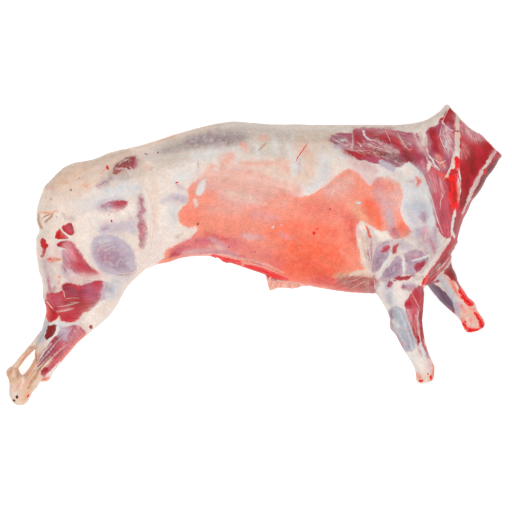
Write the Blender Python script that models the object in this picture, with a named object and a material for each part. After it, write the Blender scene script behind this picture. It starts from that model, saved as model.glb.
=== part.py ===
"""Whole dressed goat carcass: skinned, drawn, without head and feet, lying stiff on its left side.

Metres, +Z up. X runs from the hind legs to the neck, Y from the belly to the back. Z is the width of the
animal, so the floor side is its left side. The origin is on the floor under the middle of its outline.

The trunk and every limb is a loft. One of its sections is given by the two points where it meets the
outline seen from above, the height of its middle over the floor and half its thickness. The lofts and the
muscles on them are fused and smoothed into one body. Low relief marks the seams between the muscles, the
neck and the belly are cut, and the torn belly edge and the heel tendons are joined on last.
"""

import math
from collections import namedtuple

import bmesh
import bpy
import numpy as np
from mathutils import Matrix, Vector

MM = 0.001

# Driving sizes, in millimetres
MIDDLE = 85  # height of the plane between the left and right halves
BARREL_HALF = 96  # half the thickness of the rib cage
NECK_HALF = 50  # half the thickness of the neck at its cut
HAM_HALF = 51  # half the thickness of one thigh
SHANK_HALF = 24  # half the thickness of a hind shank
HOCK_HALF = 18  # half the thickness of a hock
FOREARM_HALF = 26  # half the thickness of a forearm at the elbow
WRIST_HALF = 18  # half the thickness of a forearm at its end
TENDON_RADIUS = 4.4  # heel tendon, which leaves a slot for the hanging hook
SLIT_DEPTH = 34  # how far the belly opening goes into the body
SLIT_HALF = 4.5  # half its width at the mouth
FLAP_HALF = 2.2  # half the thickness of the torn belly edge

# Making of the surface
RING_POINTS = 40
TUBE_SIDES = 10
VOXEL = 3.6  # size of the fused body's faces before they are made fewer
BLEND_STEPS = 34  # smoothing passes that round the joins
BODY_TRIANGLES = 9400
FLAT_SNAP = 0.6  # points this near the floor lie on it

FLESH_COLOUR = (0.78, 0.60, 0.54, 1.0)
FLESH_ROUGHNESS = 0.42

# back, belly: the two outline points (x, y). height, half: middle over the floor and half thickness.
# widest: where the section is thickest, from -1 at the belly end to 1 at the back end.
# back_power, belly_power: 2 is an ellipse, less is slimmer towards that end, more is fuller.
Section = namedtuple(
    "Section", "back belly height half widest back_power belly_power", defaults=(0, 2.2, 2.2)
)

TRUNK = [
    Section((-252, 185), (-236, -20), MIDDLE, 54, 0.15, 2.2, 2.0),
    Section((-205, 200), (-196, -26), MIDDLE, 64, 0.15, 2.2, 1.9),
    Section((-172, 210), (-166, -14), MIDDLE, 69, 0.2, 2.2, 1.8),
    Section((-130, 221), (-130, -5), MIDDLE, 71, 0.25, 2.2, 1.7),
    Section((-79, 235), (-79, 0), MIDDLE, 76, 0.2, 2.2, 1.7),
    Section((-46, 241), (-46, -12), MIDDLE, 80, 0.15, 2.2, 1.8),
    Section((-16, 242), (-16, -22), MIDDLE, 84, 0.1, 2.2, 1.8),
    Section((47, 239), (47, -42), MIDDLE, 91, 0.0, 2.2, 1.9),
    Section((110, 236), (110, -55), MIDDLE, BARREL_HALF, 0.0, 2.2, 2.1),
    Section((173, 236), (173, -65), MIDDLE, BARREL_HALF, 0.0, 2.1, 2.1),
    Section((227, 236), (240, -68), MIDDLE, 93, 0.0, 2.0, 2.1),
    Section((262, 236), (298, -62), MIDDLE, 88, -0.05, 1.9, 2.1),
    Section((288, 239), (342, -34), MIDDLE - 1, 80, -0.05, 1.8, 2.1),
    Section((307, 244), (366, 12), MIDDLE - 4, 70, 0.0, 1.8, 2.1),
    Section((323, 252), (379, 62), MIDDLE - 8, 61, 0.0, 1.9, 2.1),
    Section((336, 262), (405, 115), MIDDLE - 13, 54, 0.0, 2.0, 2.1),
    Section((351, 273), (450, 180), MIDDLE - 16, NECK_HALF, 0.0, 2.0, 2.1),
    Section((368, 290), (467, 197), MIDDLE - 18, NECK_HALF, 0.0, 2.0, 2.1),
]

# The hind legs share one outline, and each has its own height, as the far one lies on the floor.
# heel_side, shin_side: the two outline points (x, y). near, far: height of each leg's middle.
HindSection = namedtuple("HindSection", "heel_side shin_side near far half")
HIND = [
    HindSection((-150, 170), (-150, 30), 110, 60, 26),
    HindSection((-205, 198), (-176, -9), 120, 50, 38),
    HindSection((-264, 186), (-201, -33), 127, 43, 47),
    HindSection((-320, 170), (-221, -51), 132, 38, HAM_HALF),
    HindSection((-361, 141), (-232, -67), 135, 35, HAM_HALF),
    HindSection((-384, 101), (-242, -86), 136, 34, HAM_HALF),
    HindSection((-388, 55), (-255, -106), 137, 33, 50),
    HindSection((-388, 8), (-272, -121), 138, 31, 47),
    HindSection((-381, -37), (-291, -137), 138, 29, 43),
    HindSection((-375, -77), (-309, -151), 138, 27, 38),
    HindSection((-373, -111), (-322, -166), 137, 26, 33),
    HindSection((-380, -139), (-337, -183), 135, 24, 29),
    HindSection((-389, -164), (-350, -199), 133, 22, SHANK_HALF),
    HindSection((-392, -184), (-361, -213), 131, 20, 22),
    HindSection((-400, -200), (-370, -225), 130, 19, 20),
    HindSection((-412, -214), (-382, -231), 128, 18, 19),
    HindSection((-424, -226), (-391, -240), 127, 17, HOCK_HALF),
]
HOCK_HEIGHTS = {"near": 127, "far": 17}
HOCK_OUTLINE = [
    ((-440, -215), (-395, -217)),
    ((-441, -224), (-390, -223)),
    ((-440, -233), (-391, -234)),
    ((-438, -244), (-397, -246)),
    ((-434, -256), (-403, -259)),
    ((-428, -266), (-409, -268)),
]
HEEL_TENDON = [(-374, -138), (-396, -163), (-412, -180), (-426, -198), (-432, -211)]
TENDON_SHAPE = (1.7, 1.15, 1.0, 1.1, 1.6)  # its thickness at those points, in TENDON_RADIUS
TENDON_RISE = 4  # it starts this much higher than it ends

NEAR_FORE = [
    Section((222, 20), (336, 10), 128, 42),
    Section((212, -30), (320, -34), 135, 41),
    Section((213, -52), (311, -59), 137, 36),
    Section((224, -69), (310, -82), 136, 32),
    Section((238, -90), (309, -100), 134, 29),
    Section((249, -115), (307, -118), 132, FOREARM_HALF),
    Section((260, -145), (311, -149), 129, 23),
    Section((277, -175), (319, -176), 126, 20),
    Section((292, -200), (328, -196), 124, WRIST_HALF),
    Section((295, -215), (328, -212), 123, WRIST_HALF),
    Section((301, -226), (323, -223), 123, 14),
]
FAR_FORE = [
    Section((266, 45), (354, 45), 44, 42),
    Section((280, 12), (358, 18), 40, 38),
    Section((296, -18), (360, -4), 36, 33),
    Section((314, -50), (367, -32), 31, 28),
    Section((336, -80), (382, -58), 26, 24),
    Section((364, -103), (398, -85), 22, 20),
    Section((377, -117), (411, -102), 19, WRIST_HALF),
    Section((385, -129), (416, -119), 18, WRIST_HALF),
    Section((396, -137), (414, -130), 18, 14),
]

# Rounded ends of bones and muscles at the ends of the limbs: (x, y, height), radius
KNOBS = {
    "near_heel": ((-431, -209, 127), 12.0),
    "far_heel": ((-431, -209, 17), 12.0),
    "near_shin": ((-370, -217, 128), 8.0),
    "far_shin": ((-370, -217, 18), 8.0),
    "near_radius": ((304, -219, 123), 11.0),
    "near_ulna": ((317, -216, 123), 11.0),
    "far_radius": ((391, -128, 18), 11.0),
    "far_ulna": ((403, -121, 18), 11.0),
}
KNOB_STRETCH = 1.4  # a knob is this much longer through the limb than across it

# Muscles that stand on the sides of the body, the same on both.
# middle (x, y), half sizes along and across, turn in degrees, offset: height over the middle plane,
# half: half size in height
Muscle = namedtuple("Muscle", "middle sizes turn offset half")
SIDE_MUSCLES = {
    "shoulder_blade": Muscle((272, 122), (112, 50), 112, 42, 53),
    "upper_arm": Muscle((272, 0), (80, 44), 40, 48, 55),
    "hip": Muscle((-262, 118), (84, 60), 20, 44, 52),
    "knee": Muscle((-272, -58), (42, 28), -50, 52, 43),
}
MIDDLE_MUSCLES = {
    "pelvis": Muscle((-292, 108), (84, 60), 28, 0, 74),
    "groin": Muscle((-232, 48), (62, 50), 20, 0, 66),
    "brisket": Muscle((262, -6), (90, 48), 8, 0, 80),
}

# Low relief on both sides: route of (x, y) points, half width, height (below 0 is a furrow)
RELIEF = {
    "behind_shoulder": ([(188, 62), (202, 28), (212, -8), (218, -34)], 13, -4.5),
    "blade_spine": ([(264, 166), (281, 118), (300, 78), (318, 50)], 11, 3.0),
    "front_of_blade": ([(330, 168), (326, 118), (333, 66), (338, 36)], 11, -4.0),
    "neck_band": ([(366, 262), (366, 200), (362, 150)], 8, 2.0),
    "withers_edge": ([(166, 188), (212, 170), (262, 152)], 11, -2.0),
    "elbow_point": ([(226, -48), (236, -66)], 11, 3.5),
    "elbow_seam": ([(244, -34), (276, -44), (306, -36)], 9, -3.0),
    "arm_seam": ([(226, 34), (258, 10), (296, 4), (330, 22)], 9, -2.5),
    "arm_front": ([(300, -20), (322, 6), (340, 36)], 8, -2.0),
    "flank_fold": ([(-186, 150), (-194, 99), (-190, 30), (-186, -2)], 15, -4.0),
    "thigh_ball": ([(-262, 8), (-246, -2)], 24, 3.0),
    "thigh_seam": ([(-336, 84), (-322, 30), (-300, -22), (-296, -60)], 11, -3.0),
    "ham_seam": ([(-356, 40), (-352, -10), (-338, -52)], 9, -2.0),
    "knee_seam": ([(-314, -86), (-290, -64), (-262, -30)], 10, -2.0),
    "loin_edge": ([(-170, 172), (-60, 186), (60, 190), (160, 196)], 14, -2.5),
    "shin_seam": ([(-330, -112), (-350, -142), (-368, -176), (-384, -204)], 7, -2.0),
    "forearm_seam": ([(286, -70), (296, -130), (308, -190)], 7, -1.8),
}

# Along the back the backbone stands up between two long furrows
SPINE_HEIGHT = 2.0
SPINE_HALF = 7
FURROW_DEPTH = 2.2
FURROW_OFFSET = 18
BACK_ENDS = (-345, 330)
BACK_FADE = 40  # over this length the ridge runs out at each end

# How much a pass smooths, and where that differs: (x, y), radius, strength
EVEN_STRENGTH = 0.35
BLEND_SPOTS = [
    ((-190, 90), 110, 0.7),  # flank
    ((-215, 10), 60, 0.8),  # groin
    ((300, 20), 110, 0.75),  # shoulder
    ((-410, -205), 75, 0.08),  # hocks
    ((306, -190), 70, 0.12),  # near forearm's end
    ((390, -105), 45, 0.12),  # far forearm's end
]

# The belly opening. The near edge stands back, so that the inside of the far one shows below it.
NEAR_EDGE = [(-96, -12), (-72, 0), (-44, -4), (-26, -12), (16, -25), (56, -40), (84, -52), (108, -68)]
SLIT_HEIGHT = MIDDLE - 4
EDGE_STEPS = 30
KNIFE_REACH = 46  # how far the knife stands out of the belly
KNIFE_RISE = 70

# The torn edge that hangs from the far side: its free side, then its root inside the body
TORN_FREE = [(24, -32), (28, -51), (32, -61), (41, -58), (56, -56), (72, -58), (83, -56), (92, -50)]
TORN_ROOT = [(34, -14), (90, -30)]
TORN_HEIGHT = MIDDLE - 13
TORN_STEPS = 26
TORN_ROWS = 4
PLEAT_HEIGHT = 1.7
PLEAT_TURN = 1.25  # radians from one step to the next
PLEAT_UNEVEN = (0.6, 0.7)  # size and pace of the unevenness of the pleats

# The neck's cut, a nearly flat face across the end
NECK_CUT_MIDDLE = (400, 227.8)
NECK_CUT_TOP = (355, 271)  # where the cut meets the back of the neck
NECK_CUT_HEIGHT = MIDDLE - 18
SAW_SPAN = 180
SAW_DEPTH = 70
SAW_STEPS = 20
HOLLOW = (-24, 26, -4.0)  # along the cut: middle, half width and depth of its hollow
SWELL = (34, 24, 2.0)  # the same for the swell of the throat muscles
BONE_OFFSET = 12  # the backbone lies this far from the middle, towards the back
BONE_RADIUS = 17
BONE_HEIGHT = 3.0
CANAL_RADIUS = 6.0
CANAL_DEPTH = 11.0


def clear_scene():
    """Removes whatever the file opened with."""
    for obj in list(bpy.data.objects):
        bpy.data.objects.remove(obj)


def new_object(name, bm):
    """Turns a bmesh in millimetres into an object in metres, with its faces pointing out."""
    bmesh.ops.recalc_face_normals(bm, faces=bm.faces[:])
    bmesh.ops.scale(bm, vec=(MM, MM, MM), verts=bm.verts[:])
    mesh = bpy.data.meshes.new(name)
    bm.to_mesh(mesh)
    bm.free()
    obj = bpy.data.objects.new(name, mesh)
    bpy.context.scene.collection.objects.link(obj)
    return obj


def apply_modifiers(obj):
    """Replaces the object's mesh with what its modifiers make of it."""
    graph = bpy.context.evaluated_depsgraph_get()
    graph.update()
    mesh = bpy.data.meshes.new_from_object(obj.evaluated_get(graph))
    obj.modifiers.clear()
    obj.data = mesh


# ---- shapes ----


def skin_rings(bm, rings):
    """Faces from each ring of points to the next, and one over each end."""
    for ring, following in zip(rings, rings[1:]):
        for k in range(len(ring)):
            j = (k + 1) % len(ring)
            bm.faces.new((ring[k], ring[j], following[j], following[k]))
    bm.faces.new(reversed(rings[0]))
    bm.faces.new(rings[-1])


def rim_of(grid):
    """The points round the edge of a grid, in order."""
    right = [row[-1] for row in grid[1:]]
    left = [row[0] for row in reversed(grid[1:-1])]
    return grid[0] + right + list(reversed(grid[-1][:-1])) + left


def skin_grids(bm, lower, upper):
    """Faces over two grids of points that lie over each other, and round their edges, as triangles."""
    for grid in (lower, upper):
        for line, following in zip(grid, grid[1:]):
            for k in range(len(line) - 1):
                bm.faces.new((line[k], line[k + 1], following[k + 1], following[k]))
    rim, opposite = rim_of(lower), rim_of(upper)
    for k in range(len(rim)):
        j = (k + 1) % len(rim)
        bm.faces.new((rim[k], rim[j], opposite[j], opposite[k]))
    bmesh.ops.triangulate(bm, faces=bm.faces[:])


def section_ring(section):
    """Points round a section: a rounded shape between its two outline points."""
    back = Vector((*section.back, 0))
    belly = Vector((*section.belly, 0))
    middle = (back + belly) / 2
    reach = (back - belly) / 2
    points = []
    for i in range(RING_POINTS):
        angle = math.tau * i / RING_POINTS
        along, across = math.cos(angle), math.sin(angle)
        if along >= 0:
            power = section.back_power
            place = section.widest + (1 - section.widest) * along ** (2 / power)
        else:
            power = section.belly_power
            place = section.widest - (1 + section.widest) * (-along) ** (2 / power)
        side = math.copysign(abs(across) ** (2 / power), across)
        points.append(middle + reach * place + Vector((0, 0, section.height + section.half * side)))
    return points


def halved(sections):
    """The sections with one more between each two, on a smooth curve through them."""
    rows = []
    for s in sections:
        rows.append(np.array([*s.back, *s.belly, *s[2:]]))
    fine = [rows[0]]
    for i in range(len(rows) - 1):
        before = rows[max(i - 1, 0)]
        after = rows[min(i + 2, len(rows) - 1)]
        fine.append((9 * (rows[i] + rows[i + 1]) - before - after) / 16)
        fine.append(rows[i + 1])
    return [Section(tuple(row[0:2]), tuple(row[2:4]), *row[4:]) for row in fine]


def loft(name, sections):
    """A closed skin through the sections, in order."""
    bm = bmesh.new()
    rings = []
    for section in halved(sections):
        rings.append([bm.verts.new(point) for point in section_ring(section)])
    skin_rings(bm, rings)
    return new_object(name, bm)


def ball(name, middle, sizes, turn=0.0):
    """An ellipsoid with half sizes along its own axes, turned about Z by degrees."""
    bm = bmesh.new()
    bmesh.ops.create_icosphere(bm, subdivisions=4, radius=1)
    move = Matrix.Translation(middle) @ Matrix.Rotation(math.radians(turn), 4, "Z")
    bmesh.ops.transform(bm, matrix=move @ Matrix.Diagonal((*sizes, 1)), verts=bm.verts[:])
    return new_object(name, bm)


def tube(name, route, radii):
    """A round cord through the points, with a radius at each, closed at both ends."""
    bm = bmesh.new()
    points = [Vector(p) for p in route]
    rings = []
    for i, point in enumerate(points):
        ahead = points[min(i + 1, len(points) - 1)] - points[max(i - 1, 0)]
        across = ahead.to_track_quat("Z", "Y").to_matrix()
        ring = []
        for k in range(TUBE_SIDES):
            angle = math.tau * k / TUBE_SIDES
            spoke = Vector((math.cos(angle), math.sin(angle), 0)) * radii[i]
            ring.append(bm.verts.new(point + across @ spoke))
        rings.append(ring)
    skin_rings(bm, rings)
    return new_object(name, bm)


def along_curve(points, steps):
    """That many points along a smooth curve through the ones given."""
    given = [Vector(p) for p in points]
    given = [given[0] * 2 - given[1]] + given + [given[-1] * 2 - given[-2]]
    spread = []
    for i in range(steps):
        place = i / (steps - 1) * (len(points) - 1)
        k = min(int(place), len(points) - 2)
        t = place - k
        a, b, c, d = given[k : k + 4]
        bend = (c - a) + (2 * a - 5 * b + 4 * c - d) * t + (3 * b - a - 3 * c + d) * t * t
        spread.append(b + bend * t / 2)
    return spread


# ---- the body ----


def hind_leg(side):
    """One hind leg down to the hock. The side is near or far."""
    sections = [Section(s.heel_side, s.shin_side, getattr(s, side), s.half) for s in HIND]
    return loft(side + "_hind", sections)


def hock(side):
    """The block of the hock below the slot of the heel tendon."""
    height = HOCK_HEIGHTS[side]
    return loft(side + "_hock", [Section(left, right, height, HOCK_HALF) for left, right in HOCK_OUTLINE])


def muscles():
    """The muscles that give the sides and the middle of the body their form."""
    masses = []
    for name, form in SIDE_MUSCLES.items():
        for side in (-1, 1):
            place = (*form.middle, MIDDLE + side * form.offset)
            masses.append(ball(name, place, (*form.sizes, form.half), form.turn))
    for name, form in MIDDLE_MUSCLES.items():
        masses.append(ball(name, (*form.middle, MIDDLE), (*form.sizes, form.half), form.turn))
    return masses


def knobs():
    """The rounded ends of the limbs."""
    ends = []
    for name, (place, radius) in KNOBS.items():
        ends.append(ball(name, place, (radius, radius, radius * KNOB_STRETCH)))
    return ends


def fuse(masses):
    """One skin round all the masses, made of small even faces."""
    joined = bmesh.new()
    for obj in masses:
        joined.from_mesh(obj.data)
        bpy.data.objects.remove(obj)
    mesh = bpy.data.meshes.new("carcass")
    joined.to_mesh(mesh)
    joined.free()
    body = bpy.data.objects.new("carcass", mesh)
    bpy.context.scene.collection.objects.link(body)
    skin = body.modifiers.new("skin", "REMESH")
    skin.mode = "VOXEL"
    skin.voxel_size = VOXEL * MM
    apply_modifiers(body)
    return body


def get_places(body):
    """The body's points in millimetres, one row each."""
    places = np.empty(len(body.data.vertices) * 3)
    body.data.vertices.foreach_get("co", places)
    return places.reshape(-1, 3) / MM


def set_places(body, places):
    """Moves the body's points to the rows given in millimetres."""
    body.data.vertices.foreach_set("co", (places * MM).ravel())
    body.data.update()


def round_joins(body):
    """Smooths the skin: strongly where limbs meet the trunk, lightly at the slim ends of the limbs."""
    places = get_places(body)
    edges = np.empty(len(body.data.edges) * 2, dtype=np.int64)
    body.data.edges.foreach_get("vertices", edges)
    start, end = edges.reshape(-1, 2).T
    count = len(places)
    neighbours = np.bincount(start, minlength=count) + np.bincount(end, minlength=count)
    strength = np.full(count, EVEN_STRENGTH)
    for (x, y), radius, goal in BLEND_SPOTS:
        share = np.exp(-(np.hypot(places[:, 0] - x, places[:, 1] - y) / radius) ** 4)
        strength += (goal - strength) * share
    for _ in range(BLEND_STEPS):
        total = np.zeros_like(places)
        for axis in range(3):
            total[:, axis] += np.bincount(start, weights=places[end, axis], minlength=count)
            total[:, axis] += np.bincount(end, weights=places[start, axis], minlength=count)
        places += strength[:, None] * (total / neighbours[:, None] - places)
    set_places(body, places)


def distance_to_route(points, route):
    """Distance in the XY plane from each point to the route of straight runs."""
    best = np.full(len(points), np.inf)
    for start, end in zip(route, route[1:]):
        start, end = np.array(start, float), np.array(end, float)
        run = end - start
        share = np.clip((points - start) @ run / (run @ run), 0, 1)
        nearest = start + share[:, None] * run
        best = np.minimum(best, np.linalg.norm(points - nearest, axis=1))
    return best


def side_relief(places):
    """How far each point on a side stands out: the seams and ridges of the muscles."""
    form = np.zeros(len(places))
    for route, half_width, height in RELIEF.values():
        distance = distance_to_route(places[:, :2], route)
        form += height * np.exp(-((distance / half_width) ** 2))
    return form


def spine_relief(places, normals):
    """How far each point on the back stands out: the backbone with a furrow on each side."""
    offset = np.abs(places[:, 2] - MIDDLE)
    form = SPINE_HEIGHT * np.exp(-((offset / SPINE_HALF) ** 2))
    form -= FURROW_DEPTH * np.exp(-(((offset - FURROW_OFFSET) / SPINE_HALF) ** 2))
    from_hip = np.clip((places[:, 0] - BACK_ENDS[0]) / BACK_FADE, 0, 1)
    from_neck = np.clip((BACK_ENDS[1] - places[:, 0]) / BACK_FADE, 0, 1)
    return form * from_hip * from_neck * np.clip(normals[:, 1], 0, 1) ** 2


def carve_relief(body):
    """Gives the body its low relief, and lays what would sink into the floor flat on it."""
    places = get_places(body)
    normals = np.empty(len(places) * 3)
    body.data.vertices.foreach_get("normal", normals)
    normals = normals.reshape(-1, 3)
    side = side_relief(places) * normals[:, 2]
    places += normals * spine_relief(places, normals)[:, None]
    places[:, 2] = np.maximum(places[:, 2] + side, 0)
    set_places(body, places)


def lighten(body):
    """Brings the skin down to its number of triangles, then sets what lies on the floor exactly flat."""
    triangles = sum(len(face.vertices) - 2 for face in body.data.polygons)
    fewer = body.modifiers.new("fewer", "DECIMATE")
    fewer.ratio = BODY_TRIANGLES / triangles
    apply_modifiers(body)
    for vertex in body.data.vertices:
        if vertex.co.z < FLAT_SNAP * MM:
            vertex.co.z = 0


# ---- tendons, cuts and torn edge ----


def heel_tendon(side):
    """The heel tendon of a hind leg, which stands off the shin."""
    route = []
    for i, (x, y) in enumerate(HEEL_TENDON):
        share = i / (len(HEEL_TENDON) - 1)
        route.append((x, y, HOCK_HEIGHTS[side] + TENDON_RISE * (1 - share)))
    return tube(side + "_tendon", route, [TENDON_RADIUS * shape for shape in TENDON_SHAPE])


def torn_edge():
    """The thin torn edge of the belly wall, pleated along its free side."""
    free = along_curve(TORN_FREE, TORN_STEPS)
    root = along_curve(TORN_ROOT, TORN_STEPS)
    bm = bmesh.new()
    layers = []
    for side in (-1, 1):
        grid = []
        for row in range(TORN_ROWS + 1):
            share = row / TORN_ROWS
            thick = FLAP_HALF * (1 - 0.45 * share)
            line = []
            for i in range(TORN_STEPS):
                place = root[i].lerp(free[i], share)
                turn = i * PLEAT_TURN + PLEAT_UNEVEN[0] * math.sin(i * PLEAT_UNEVEN[1])
                height = TORN_HEIGHT + PLEAT_HEIGHT * share * math.sin(turn)
                line.append(bm.verts.new((*place, height + side * thick)))
            grid.append(line)
        layers.append(grid)
    skin_grids(bm, *layers)
    return new_object("torn_edge", bm)


def knife_profile(share):
    """The knife's section: distance out of the near edge, height over the middle of the opening."""
    depth = SLIT_DEPTH * share
    half = SLIT_HALF * max(share, 0.15)
    return [
        (-depth - 2, 0),
        (-depth * 0.6, half * 0.55),
        (-3, half),
        (1, half + 3),
        (3, half + 10),
        (5, half + KNIFE_RISE),
        (KNIFE_REACH, half + KNIFE_RISE),
        (KNIFE_REACH, -half),
        (2, -half),
        (-depth * 0.6, -half * 0.5),
    ]


def belly_knife():
    """The tool that opens the belly. It narrows inwards, and takes the near edge back."""
    edge = along_curve(NEAR_EDGE, EDGE_STEPS)
    last = EDGE_STEPS - 1
    bm = bmesh.new()
    rings = []
    for i, place in enumerate(edge):
        ahead = edge[min(i + 1, last)] - edge[max(i - 1, 0)]
        outward = Vector((ahead.y, -ahead.x)).normalized()
        share = math.sqrt(math.sin(math.pi * i / last))
        ring = []
        for out, up in knife_profile(share):
            ring.append(bm.verts.new((*(place + outward * out), SLIT_HEIGHT + up)))
        rings.append(ring)
    skin_rings(bm, rings)
    bmesh.ops.triangulate(bm, faces=bm.faces[:])
    return new_object("belly_knife", bm)


def bump(distance, half_width, height, power=2):
    """A rounded rise of that height at distance 0."""
    return height * math.exp(-((abs(distance) / half_width) ** power))


def neck_relief(along, across):
    """How far the neck's cut stands in front of its plane at a place on it."""
    from_bone = math.hypot(along + BONE_OFFSET, across)
    form = bump(from_bone, BONE_RADIUS, BONE_HEIGHT, 4) - bump(from_bone, CANAL_RADIUS, CANAL_DEPTH)
    for middle, half_width, height in (HOLLOW, SWELL):
        form += bump(along - middle, half_width, height)
    return form


def neck_saw():
    """The tool that cuts the neck. Its face carries the relief of the cut."""
    middle = Vector(NECK_CUT_MIDDLE)
    down = (middle - Vector(NECK_CUT_TOP)).normalized()
    outward = Vector((-down.y, down.x))
    bm = bmesh.new()
    cut_side, back_side = [], []
    for row in range(SAW_STEPS + 1):
        along = (row / SAW_STEPS - 0.5) * SAW_SPAN
        cut_line, back_line = [], []
        for column in range(SAW_STEPS + 1):
            across = (column / SAW_STEPS - 0.5) * SAW_SPAN
            place = middle + down * along + outward * neck_relief(along, across)
            height = NECK_CUT_HEIGHT + across
            cut_line.append(bm.verts.new((*place, height)))
            back_line.append(bm.verts.new((*(place + outward * SAW_DEPTH), height)))
        cut_side.append(cut_line)
        back_side.append(back_line)
    skin_grids(bm, cut_side, back_side)
    return new_object("neck_saw", bm)


def combine(body, tool, operation):
    """Joins the tool to the body or cuts it away, and removes the tool."""
    step = body.modifiers.new(operation, "BOOLEAN")
    step.operation = operation
    step.object = tool
    step.solver = "EXACT"
    apply_modifiers(body)
    bpy.data.objects.remove(tool)


def centre_on_floor(body):
    """Puts the origin on the floor under the middle of the outline."""
    places = get_places(body)
    low, high = places.min(axis=0), places.max(axis=0)
    middle = (low + high) / 2
    set_places(body, places - np.array((middle[0], middle[1], low[2])))


def flesh_material():
    """Moist meat with its fat cover."""
    material = bpy.data.materials.new("flesh")
    material.use_nodes = True
    shader = material.node_tree.nodes["Principled BSDF"]
    shader.inputs["Base Color"].default_value = FLESH_COLOUR
    shader.inputs["Roughness"].default_value = FLESH_ROUGHNESS
    shader.inputs["Metallic"].default_value = 0.0
    return material


def build_carcass():
    """The whole carcass as one object."""
    masses = [loft("trunk", TRUNK), loft("near_fore", NEAR_FORE), loft("far_fore", FAR_FORE)]
    for side in HOCK_HEIGHTS:
        masses += [hind_leg(side), hock(side)]
    carcass = fuse(masses + muscles() + knobs())
    round_joins(carcass)
    carve_relief(carcass)
    combine(carcass, neck_saw(), "DIFFERENCE")
    combine(carcass, belly_knife(), "DIFFERENCE")
    lighten(carcass)
    combine(carcass, torn_edge(), "UNION")
    for side in HOCK_HEIGHTS:
        combine(carcass, heel_tendon(side), "UNION")
    centre_on_floor(carcass)
    carcass.data.shade_smooth()
    carcass.data.materials.clear()
    carcass.data.materials.append(flesh_material())


clear_scene()
build_carcass()
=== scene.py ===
"""Whole goat carcass, skinned and dressed, lying on its side: the finish of its surface, and the studio.

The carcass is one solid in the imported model. Here it gets a fine skin of the same form, painted with the
tissues that skinning lays bare: fat and silverskin as the cover, and the flesh where the cover is gone.
The torn belly edge, the strands of silverskin and the streaks and drops of blood are pieces of their own.

Places on the carcass are given as they show in the picture, in pixels to the right and down, and both sides
of the animal carry the same pattern.
"""

import math
from collections import namedtuple

import bmesh
import bpy
import numpy as np
from bpy.props import FloatProperty, FloatVectorProperty, IntProperty, PointerProperty
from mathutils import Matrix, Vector, noise


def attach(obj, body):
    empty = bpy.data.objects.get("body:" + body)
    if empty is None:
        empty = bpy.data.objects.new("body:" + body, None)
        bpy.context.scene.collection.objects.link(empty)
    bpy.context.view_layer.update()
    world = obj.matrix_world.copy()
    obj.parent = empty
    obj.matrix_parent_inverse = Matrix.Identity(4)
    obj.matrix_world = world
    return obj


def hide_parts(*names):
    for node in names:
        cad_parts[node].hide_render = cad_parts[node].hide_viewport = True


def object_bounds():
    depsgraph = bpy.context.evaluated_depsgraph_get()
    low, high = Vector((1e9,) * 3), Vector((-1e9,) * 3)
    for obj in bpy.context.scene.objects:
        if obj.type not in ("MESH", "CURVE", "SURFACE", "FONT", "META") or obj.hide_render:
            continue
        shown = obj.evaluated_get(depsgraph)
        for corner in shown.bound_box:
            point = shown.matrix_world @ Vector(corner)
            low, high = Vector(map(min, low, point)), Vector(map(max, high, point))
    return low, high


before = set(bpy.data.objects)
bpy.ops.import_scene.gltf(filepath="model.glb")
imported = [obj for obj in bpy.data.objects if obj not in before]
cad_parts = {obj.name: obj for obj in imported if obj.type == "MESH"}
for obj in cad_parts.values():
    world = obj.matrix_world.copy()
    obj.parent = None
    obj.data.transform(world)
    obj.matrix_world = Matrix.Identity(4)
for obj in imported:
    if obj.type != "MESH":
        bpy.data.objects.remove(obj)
CAD_LOW, CAD_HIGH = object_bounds()

bl_info = {
    "name": "Goat carcass finish",
    "version": (1, 0, 0),
    "blender": (4, 5, 0),
    "location": "3D View > Sidebar > Carcass",
    "description": "Makes the finished surface of a dressed goat carcass and a plain studio round it",
    "category": "Object",
}

MM = 0.001
LOWEST = -0.1 * MM  # no strand or drop reaches further down, into the floor
BODY = "root"
NODE = "carcass"

# ---- the picture ----

PIXEL = 1.8 * MM  # what one pixel of the picture measures on the carcass's middle plane
PICTURE_SIDE = 512
PICTURE_ZERO = (254, 255)  # the pixel over the carcass's origin
PICTURE_MIDDLE = (256, 256)
MIDDLE = 85 * MM  # height of the plane between the left and right halves
CENTRE = (
    (PICTURE_MIDDLE[0] - PICTURE_ZERO[0]) * PIXEL,
    (PICTURE_ZERO[1] - PICTURE_MIDDLE[1]) * PIXEL,
)


def linear(code):
    """An sRGB hex colour as linear red, green and blue."""
    values = [int(code[i : i + 2], 16) / 255 for i in (0, 2, 4)]
    return tuple(v / 12.92 if v <= 0.04045 else ((v + 0.055) / 1.055) ** 2.4 for v in values)


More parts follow.
